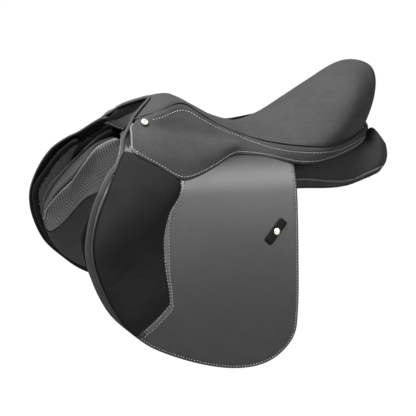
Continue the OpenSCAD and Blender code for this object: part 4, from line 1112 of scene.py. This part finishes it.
def make_panels():
    """Stuffed panels with a rolled bearing leather, its dots, piping and the seam's cord."""
    rings = panel_rings()
    n, c = rings.shape[:2]
    seam = BEARING_TOP * RING_STEPS
    low = BEARING_LOW * RING_STEPS
    mid = rings.mean(1, keepdims=True)
    out = unit(np.cross(np.roll(rings, -1, 1) - np.roll(rings, 1, 1), np.gradient(rings, axis=0)))
    if np.mean(np.sum(out * (rings - mid), -1)) < 0:
        out = -out
    col, row = np.arange(c), np.arange(n)
    roll = np.where(col < seam, ROLL_H * np.exp(-((col - seam + ROLL_IN) / ROLL_RUN) ** 2), 0)
    rings = rings + out * roll[None, :, None]
    faces = [f[::-1] for f in quads(n, c, wrap=True)]
    kinds = [1 if low <= k % c < seam else 0 for k in range(len(faces))]
    a, b = n * c, n * c + 1
    faces += [(a, (j + 1) % c, j) for j in range(c)]
    faces += [(b, (n - 1) * c + j, (n - 1) * c + (j + 1) % c) for j in range(c)]
    kinds += [0] * (2 * c)
    from_end = np.minimum(row, row[::-1])
    held = [i * c + j for i in range(n) for j in range(c) if j <= RING_STEPS or from_end[i] < HELD_ROWS] + [a, b]
    cap = np.append(np.repeat(SWELL_CAP * np.clip(from_end / CAP_ROWS, 0, 1), c), [0, 0])[:, None]
    verts = swell(np.vstack([rings.reshape(-1, 3), mid[0], mid[-1]]), faces, held, cap, PANEL_PRESSURE)
    rings = verts[:n * c].reshape(n, c, 3)
    thin = np.clip((from_end[1:-1] - 1) / THIN_ROWS, THIN_END, 1)
    drop = PIPE_DROP * rise(row / n, DROP_FROM, DROP_RUN)
    cords = []
    for k, (lift, radius) in ((RING_STEPS + drop, PIPING), (low + 0 * drop, PIPING), (seam + 0 * drop, SEAM_CORD)):
        first, share = k.astype(int), (k % 1)[:, None]
        line = rings[row, first] * (1 - share) + rings[row, first + 1] * share + lift * out[row, first]
        cords.append(tube(line[1:-1], radius * thin))
    verts, faces, which = together((verts, faces), *cords)
    cord_looks = {1: 2, 2: 0, 3: 3}
    mesh = verts, faces, kinds + [cord_looks[w] for w in which[len(kinds):]]
    inner = slice(DOT_ROWS, -DOT_ROWS)
    dots = []
    for j in np.arange(low + DOT_FROM, seam - DOT_TO, DOT_PITCH):
        k, share = int(j), j - int(j)
        dots.append((between(rings[inner], k, share), unit(between(out[inner], k, share))))
    looks = [PANEL_SUEDE, BEARING_LEATHER, PALE_EDGE_AND_HIGHLIGHT, BLACK_LEATHER]
    for panel in both("panel_soft_", mesh, looks, "saddle", "panel_suede", "panel_"):
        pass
    sew("panel_dots_", dots, "saddle", KNEE_SUEDE, *DOT_SIZES, slot="panel_suede")


# Pommel facing

FACING_LOW = [[-0.065, 0, 0.38], [-0.07, 0.12, 0.38], [-0.09, 0.21, 0.395], [-0.12, 0.275, 0.425],
              [-0.145, 0.302, 0.455], [-0.17, 0.312, 0.488]]
FACING_T, FACING_COLS, FACING_SEAM, FACING_ROWS, FACING_STEPS = 3, 11, 4, 81, 8
FACING_AT, FACING_BOW, FACING_HEM_R, FACING_LIFT, FACING_ENDS = [-0.4, 0, -1.2], 8, 2.0, 0.3, 2
FACING_TOP, FACING_SLOPE, FACING_POWER = 0.2, 0.72, 1.5


def make_facing(seat_face):
    """The lining under the pommel's edge, with a dark upper part and two rows of stitches."""
    half = seat_place(FACING_LOW)
    low = evenly(spline(np.vstack([half[:0:-1] * [1, -1, 1], half]), FACING_STEPS), FACING_ROWS)
    top = evenly(seat_face[0], FACING_ROWS) + FACING_AT
    cols, last = np.linspace(0, 1, FACING_COLS), FACING_COLS - 1
    seams = FACING_TOP + FACING_SLOPE * np.abs(np.linspace(-1, 1, FACING_ROWS)) ** FACING_POWER
    r = np.array([np.interp(cols, [0, FACING_SEAM / last, 1], [0, seam, 1]) for seam in seams])[:, :, None]
    face = top[:, None] * (1 - r) + low[:, None] * r - np.array([FACING_BOW, 0, 0]) * (r * (1 - r))
    verts, faces, kinds = together(shell(face, face + [FACING_T, 0, 0]), tube(low + [FACING_T / 2, 0, 0], FACING_HEM_R))
    shown = (FACING_ROWS - 1) * last
    kinds[:shown] = [2 if k % last < FACING_SEAM else 0 for k in range(shown)]
    facing = piece("pommel_facing_lining", (verts, faces, kinds), [PANEL_SUEDE, PANEL_SUEDE, BLACK_LEATHER])
    settle(facing, "saddle", "trim_suede", "pommel_facing")
    sewn = face[FACING_ENDS:-FACING_ENDS] - [FACING_LIFT, 0, 0]
    ahead = np.tile([-1.0, 0, 0], (len(sewn), 1))
    rows = [(sewn[:, k], ahead) for k in (FACING_SEAM, last - 1)]
    settle(stitches("facing_stitches", rows, 1, BLACK_LEATHER, width=0.9, height=0.8), "saddle")


# Girth straps, webbing, keepers and studs

STRAP_MID_P, STRAP_PITCH, STRAP_TOP_Q, STRAP_LEN, STRAP_W, STRAP_T, STRAP_FAN = 18, 42, 80, 310, 25, 3.6, 4
STRAP_OFF, STRAP_CUT, STRAP_STEP, STRAP_EASE, STRAP_ROW_IN, STRAP_ROW_END = -8.2, 3, 5, 0.6, 2.6, 4
HOLE_D, HOLE_PITCH, HOLE_N, ROW_POINTS = 6.2, 25, 8, 60


def strap_place(k):
    """Lays a flat strap on the bed, turned about its top by its fan."""
    at = bed_at(STRAP_MID_P + k * STRAP_PITCH, STRAP_TOP_Q, 0)
    axis = unit(bed_out(0, STRAP_TOP_Q))
    turn = -math.radians(k * STRAP_FAN)

    def place(x, q, off):
        d = bed_at(STRAP_MID_P + k * STRAP_PITCH + np.asarray(x, float), q, off) - at
        c, s = math.cos(turn), math.sin(turn)
        return at + d * c + np.cross(axis, d) * s + axis * (d @ axis)[..., None] * (1 - c)
    return place


def circle(x, y, d, sides=16):
    """A round outline."""
    c, s = around(sides)
    return np.stack([x + d / 2 * c, y + d / 2 * s], -1)


def make_straps():
    """Three girth straps a side, with holes and two rows of stitches."""
    half, foot = STRAP_W / 2, STRAP_TOP_Q + STRAP_LEN
    loop = np.array([[-half, STRAP_TOP_Q], [half, STRAP_TOP_Q], [half, foot - STRAP_CUT], [half - STRAP_CUT, foot],
                     [STRAP_CUT - half, foot], [-half, foot - STRAP_CUT]])
    holes = [circle(0, foot - i * HOLE_PITCH, HOLE_D) for i in range(1, HOLE_N + 1)]
    q = np.linspace(STRAP_TOP_Q + STRAP_ROW_END, foot - STRAP_ROW_END, ROW_POINTS)
    for i, k in ((1, -1), (2, 0), (3, 1)):
        place = strap_place(k)
        mesh = sheet(loop, STRAP_OFF - STRAP_T, STRAP_OFF, place, STRAP_STEP, STRAP_EASE, holes)
        rows = []
        for x in (STRAP_ROW_IN - half, half - STRAP_ROW_IN):
            on, out, sewn = (place(x + 0 * q, q, STRAP_OFF + d) for d in (0, 1, STITCH_LIFT))
            rows.append((sewn, out - on))
        for s, sign in SIDES:
            body = "strap_%s%d" % (s, i)
            settle(piece("girth_" + body, mesh, [BLACK_LEATHER], sign), body, "strap_leather", body)
            settle(stitches("strap_stitches_%s%d" % (s, i), rows, sign), body)


WEB_T, WEB_RUN, WEB_END, WEB_OFF, WEB_STEP, WEB_EASE = 2.5, (51, 94), 8, -5.4, 6, 0.5
KEEPER_AT, KEEPER_TURN, KEEPER_LEN, KEEPER_W, KEEPER_T = flap_place([0.887, 0.445]), math.radians(-49), 52, 17, 3
KEEPER_GAP, KEEPER_R, KEEPER_STEP, KEEPER_EASE, KEEPER_ROW, KEEPER_ROW_R, KEEPER_ROW_LIFT = 0.3, 4, 4, 0.8, 5, 2.5, 0.4


def make_webs():
    """The webbing that the girth straps are sewn to."""
    half = STRAP_PITCH + STRAP_W / 2 + WEB_END
    a, b = STRAP_MID_P - half, STRAP_MID_P + half
    loop = np.array([[a, WEB_RUN[0]], [b, WEB_RUN[0]], [b, WEB_RUN[1]], [a, WEB_RUN[1]]])
    web = sheet(loop, WEB_OFF - WEB_T, WEB_OFF, bed_at, WEB_STEP, WEB_EASE)
    both("girth_web_strip_", web, [WEBBING], "saddle", "webbing", "girth_web_")


def keeper_place(x, y, off):
    """Lays the keeper flat on the flap, turned to its slant."""
    at = bed_at(*KEEPER_AT, 0)
    out = unit(bed_out(*KEEPER_AT))
    ahead = unit(bed_at(KEEPER_AT[0] + 1, KEEPER_AT[1], 0) - at)
    down = unit(bed_at(KEEPER_AT[0], KEEPER_AT[1] + 1, 0) - at)
    c, s = math.cos(KEEPER_TURN), math.sin(KEEPER_TURN)
    x, y, off = (np.asarray(v, float)[..., None] for v in np.broadcast_arrays(x, y, off))
    return at + ahead * (x * c - y * s) + down * (x * s + y * c) + out * off


def rounded(w, h, r, n=6):
    """A rectangle with rounded corners, about its middle."""
    out = []
    for x, y, start in ((1, 1, 0), (-1, 1, 90), (-1, -1, 180), (1, -1, 270)):
        for a in np.radians(np.linspace(start, start + 90, n)):
            out.append((x * (w / 2 - r) + r * math.cos(a), y * (h / 2 - r) + r * math.sin(a)))
    return np.array(out)


def lathe(profile, at, out, sides=40):
    """A turned piece: profile gives radius and height pairs from the middle of its top down."""
    out = unit(out)
    a = unit(np.cross(out, [1.0, 0.2, 0.1]))
    b = np.cross(out, a)
    c, s = (x[:, None] for x in around(sides))
    return np.vstack([at + out * h + r * (c * a + s * b) for r, h in profile]), pipe(len(profile), sides)


CAP_SHARES = [[0.15, 0.975], [0.26, 0.9], [0.34, 0.78], [0.39, 0.62], [0.41, 0.45]]
RIM_SHARES = [[0.405, 0.5], [0.43, 0.62], [0.465, 0.6], [0.495, 0.42], [0.5, 0.22], [0.485, 0]]
CAP_TIP, CAP_FOOT, SHANK_R, HEAD_SHARE = 0.2, 0.2, 2.0, 0.25


def stud_meshes(d, at, out, shank):
    """A domed head with a bright cap in a rolled rim, and its shank."""
    h = d * HEAD_SHARE
    cap, rim = ([(d * r, h * z) for r, z in shares] for shares in (CAP_SHARES, RIM_SHARES))
    cap = [(CAP_TIP, h)] + cap + [(d * CAP_SHARES[-1][0], CAP_FOOT)]
    return lathe(cap, at, out), lathe(rim + [(SHANK_R, 0), (SHANK_R, -shank)], at, out)


STUD_SEAM_SHARE, STUD_DROP_SHARE, STUD_SINK, STUD_FINE, STUD_SHARP = 0.53, 0.68, 2.6, 100, 35
SEAT_STUD_D, SEAT_SHANK, KEEPER_STUD_D, KEEPER_SHANK, KEEPER_STUD_LIFT = 13.5, 5.5, 12, 7.6, 0.6
KEEPER_THREAD = 3.4, 2.4, 0.8, 0.8


def make_studs():
    """The pommel studs, and the keepers with their studs."""
    top, low, _ = band_lines()
    step = int(STUD_SEAM_SHARE * STUD_FINE)
    a, b = spline(top, STUD_FINE)[step], spline(low, STUD_FINE)[step]
    out, keeper_out = chord_out(a, b), bed_out(*KEEPER_AT)
    seat_at = a + (b - a) * STUD_DROP_SHARE + out * (BAND_SWELL - STUD_SINK)
    keeper_at = keeper_place(0, 0, KEEPER_T + KEEPER_STUD_LIFT)
    seat_stud = together(*stud_meshes(SEAT_STUD_D, seat_at, out, SEAT_SHANK))
    keeper_stud = together(*stud_meshes(KEEPER_STUD_D, keeper_at, keeper_out, KEEPER_SHANK))
    keeper_loop = rounded(KEEPER_LEN, KEEPER_W, KEEPER_R)
    keeper = sheet(keeper_loop, KEEPER_GAP, KEEPER_GAP + KEEPER_T, keeper_place, KEEPER_STEP, KEEPER_EASE)
    edge = rounded(KEEPER_LEN - KEEPER_ROW, KEEPER_W - KEEPER_ROW, KEEPER_ROW_R)
    edge = np.vstack([edge, edge[:1]])
    row = [(keeper_place(*edge.T, KEEPER_T + KEEPER_ROW_LIFT), np.tile(unit(keeper_out), (len(edge), 1)))]
    looks = [STUD_METAL, STUD_RIM]
    both("seat_stud_domed_", seat_stud, looks, "saddle", "stud_metal", "seat_stud_", sharp=STUD_SHARP)
    both("keeper_stud_domed_", keeper_stud, looks, "flap_", "stud_metal", "keeper_stud_", sharp=STUD_SHARP)
    both("keeper_tab_", keeper, [BLACK_LEATHER], "flap_", "strap_leather", "keeper_")
    sew("keeper_stitches_", row, "flap_", BLACK_LEATHER, *KEEPER_THREAD)


WELT_ROWS, WELT_R, WELT_OUT, WELT_HIDE = 14, 1.5, 0.8, 2


def make_welts(outer):
    """The welt in the seam between seat and skirt, which sinks away towards the pommel."""
    seam, skirt_top = outer[:, -1], spline(band_lines()[0], SEAT_STEPS)
    shown = np.clip(np.arange(len(seam)) / WELT_ROWS, 0, 1)[:, None]
    up = np.array([0, 0, 1])
    line = seam + (skirt_top - seam) * WELT_OUT * shown + up * BAND_DROP * shown - up * WELT_HIDE * (1 - shown)
    both("seat_welt_", tube(line, WELT_R), [BLACK_LEATHER], "saddle", "strap_leather")


STRIP_W, STRIP_T, STRIP_FOOT, STRIP_TURN_Q, STRIP_RISE, STRIP_STEPS = 9.5, 3.0, 95, 130, 2.8, 6
STRIP_IN, STRIP_OFF, STRIP_AT, STRIP_LEAN, STRIP_ROUNDS = 0.2, 0.3, [-1.5, 0, -0.5], [-0.9, 0, 0], 8
STRIP_WIDTHS, TOP_PICK, LOW_PICK = ([0, 0.3, 0.5], [0.75, 0.75, 1]), slice(None, None, 3), slice(2, None, 4)
PALE_ROW, PALE_OUT, PALE_OFF, DARK_ROW, DARK_OUT, DARK_OFF = slice(8, 20), 1, 0.4, slice(22, None), -1.2, 2.0


def make_strips(outer):
    """The suede strip that binds the front, from the pommel down the flap's front edge, with its stitches."""
    edge, ways = outer[0, SEAT_FANS:], grid_out(outer)[0, SEAT_FANS:]
    foot = FLAP_EDGE[:STRIP_FOOT]
    run = unit(np.gradient(foot, axis=0))
    inward = np.stack([-run[:, 1], run[:, 0]], -1)
    inward *= np.sign(inward[:, 0].mean())
    low, low_out = flap_line(foot + inward * (STRIP_W / 2 + STRIP_IN), STRIP_OFF)
    low_out = low_out + np.outer(np.clip(1 - foot[:, 1] / STRIP_TURN_Q, 0, 1), [-1.0, 0, 0])
    bow = np.outer(np.sin(np.linspace(0, math.pi, len(edge))), [0, 0, STRIP_RISE])
    line = np.vstack([(edge + bow)[TOP_PICK] + STRIP_AT, low[LOW_PICK]])
    outs = unit(np.vstack([ways[TOP_PICK] + STRIP_LEAN, low_out[LOW_PICK]]))
    line, outs = spline(line, STRIP_STEPS), unit(spline(outs, STRIP_STEPS))
    for _ in range(STRIP_ROUNDS):
        outs[1:-1] = unit(outs[:-2] + 2 * outs[1:-1] + outs[2:])
    width = STRIP_W * np.interp(np.linspace(0, 1, len(line)), *STRIP_WIDTHS)
    strip = band(line, outs, width, STRIP_T)
    pale = flap_line(foot[PALE_ROW] + inward[PALE_ROW] * (STRIP_W + PALE_OUT), PALE_OFF)
    dark = flap_line(foot[DARK_ROW] + inward[DARK_ROW] * (STRIP_W + DARK_OUT), DARK_OFF)
    both("front_strip_", strip, [SEAT_SUEDE], "flap_", "seat_suede", bend=flap_bend)
    sew("strip_stitches_", [pale], "flap_", bend=flap_bend)
    sew("strip_dark_stitches_", [dark], "flap_", BLACK_LEATHER, bend=flap_bend)


def dress_cad_nodes():
    """Rigid CAD pieces keep their shape and get their finish."""
    steel = ["gullet_plate", "gullet_screws", "bar_rivets", "catch_pins"]
    steel += [node + s for s, _ in SIDES for node in ("stirrup_bar_", "catch_")]
    for node, look in [("tree", LAMINATE)] + [(node, STEEL) for node in steel]:
        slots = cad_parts[node].data.materials
        slots.clear()
        slots.append(look)


# Studio

CAMERA_LENS, SENSOR_W, CAMERA_AIM, CAMERA_FAR = 120.4, 36, Vector((0, 0, -0.1)), 2.6
CAMERA_TURN, CAMERA_RISE = math.radians(-23), math.radians(19.4)
LAMP_AIM = Vector((0, 0, -0.05))
# name, place in m, size in m, watts, whether it lights matt surfaces
LAMPS = (("top", (-0.8, -0.1, 1.5), 1.2, 68, True), ("side", (1.7, -1.6, 0.8), 1.4, 10, True),
         ("box", (1.15, -1.9, 1.2), 1.15, 78, False))
FILL_LIGHT, SEEN_LIGHT, FLOOR_DROP, FLOOR_HALF = 0.15, 1.0, 0.03, 4.0
FLOOR_GREY, FLOOR_ROUGH, FLOOR_GLOW, FLOOR_GLOW_SHARE = 0.45, 0.9, 1.1, 0.9


def make_camera():
    """The camera, at the photograph's angle."""
    data = bpy.data.cameras.new("camera")
    data.lens, data.sensor_width = CAMERA_LENS, SENSOR_W
    cam = add("camera", data)
    flat = math.cos(CAMERA_RISE)
    back = Vector((math.sin(CAMERA_TURN) * flat, -math.cos(CAMERA_TURN) * flat, math.sin(CAMERA_RISE)))
    cam.location = CAMERA_AIM + back * CAMERA_FAR
    cam.rotation_euler = (-back).to_track_quat("-Z", "Y").to_euler()
    bpy.context.scene.camera = cam


def lamp(name, at, size, energy, matt):
    """A round lamp turned to the saddle."""
    data = bpy.data.lights.new(name, "AREA")
    data.shape, data.size, data.energy = "DISK", size, energy
    made = add(name, data)
    made.location = at
    made.rotation_euler = (LAMP_AIM - Vector(at)).to_track_quat("-Z", "Y").to_euler()
    made.visible_diffuse = matt


def seen_rays(tree):
    """1 for the rays by which the camera, a gloss or a clear surface sees the background."""
    rays = tree.nodes.new("ShaderNodeLightPath").outputs
    shine = math_node(tree, "MAXIMUM", rays["Is Glossy Ray"], rays["Is Transmission Ray"])
    return math_node(tree, "MAXIMUM", rays["Is Camera Ray"], shine)


def make_world():
    """White where it is seen, and a weak fill light."""
    world = bpy.data.worlds.new("studio")
    bpy.context.scene.world = world
    world.use_nodes = True
    tree = world.node_tree
    light = tree.nodes["Background"]
    light.inputs["Color"].default_value = (1, 1, 1, 1)
    strength = tree.nodes.new("ShaderNodeMapRange")
    tree.links.new(seen_rays(tree), strength.inputs["Value"])
    strength.inputs["To Min"].default_value, strength.inputs["To Max"].default_value = FILL_LIGHT, SEEN_LIGHT
    tree.links.new(strength.outputs["Result"], light.inputs["Strength"])


def make_floor():
    """A pale floor that looks nearly as white as the background."""
    mesh = bpy.data.meshes.new("floor")
    z, half = cad_box[0].z - FLOOR_DROP, FLOOR_HALF
    mesh.from_pydata([(-half, -half, z), (half, -half, z), (half, half, z), (-half, half, z)], [], [(0, 1, 2, 3)])
    pale = bpy.data.materials.new("floor")
    pale.use_nodes = True
    tree = pale.node_tree
    shader = tree.nodes["Principled BSDF"]
    shader.inputs["Base Color"].default_value = (*grey(FLOOR_GREY), 1)
    shader.inputs["Roughness"].default_value = FLOOR_ROUGH
    glow, mix = tree.nodes.new("ShaderNodeEmission"), tree.nodes.new("ShaderNodeMixShader")
    glow.inputs["Strength"].default_value = FLOOR_GLOW
    tree.links.new(math_node(tree, "MULTIPLY", seen_rays(tree), FLOOR_GLOW_SHARE), mix.inputs["Fac"])
    tree.links.new(shader.outputs[0], mix.inputs[1])
    tree.links.new(glow.outputs[0], mix.inputs[2])
    tree.links.new(mix.outputs[0], tree.nodes["Material Output"].inputs["Surface"])
    mesh.materials.append(pale)
    add("floor", mesh)


def make_studio():
    """World, floor and lamps."""
    bpy.context.scene.view_settings.view_transform = "Standard"
    make_world()
    make_floor()
    for values in LAMPS:
        lamp(*values)


make_camera()
make_studio()
seat_face = make_seat()
make_skirts()
make_flaps()
make_knee_pads()
make_panels()
make_sweat_flaps()
make_facing(seat_face)
make_straps()
make_webs()
make_studs()
make_welts(seat_face)
make_strips(seat_face)
dress_cad_nodes()
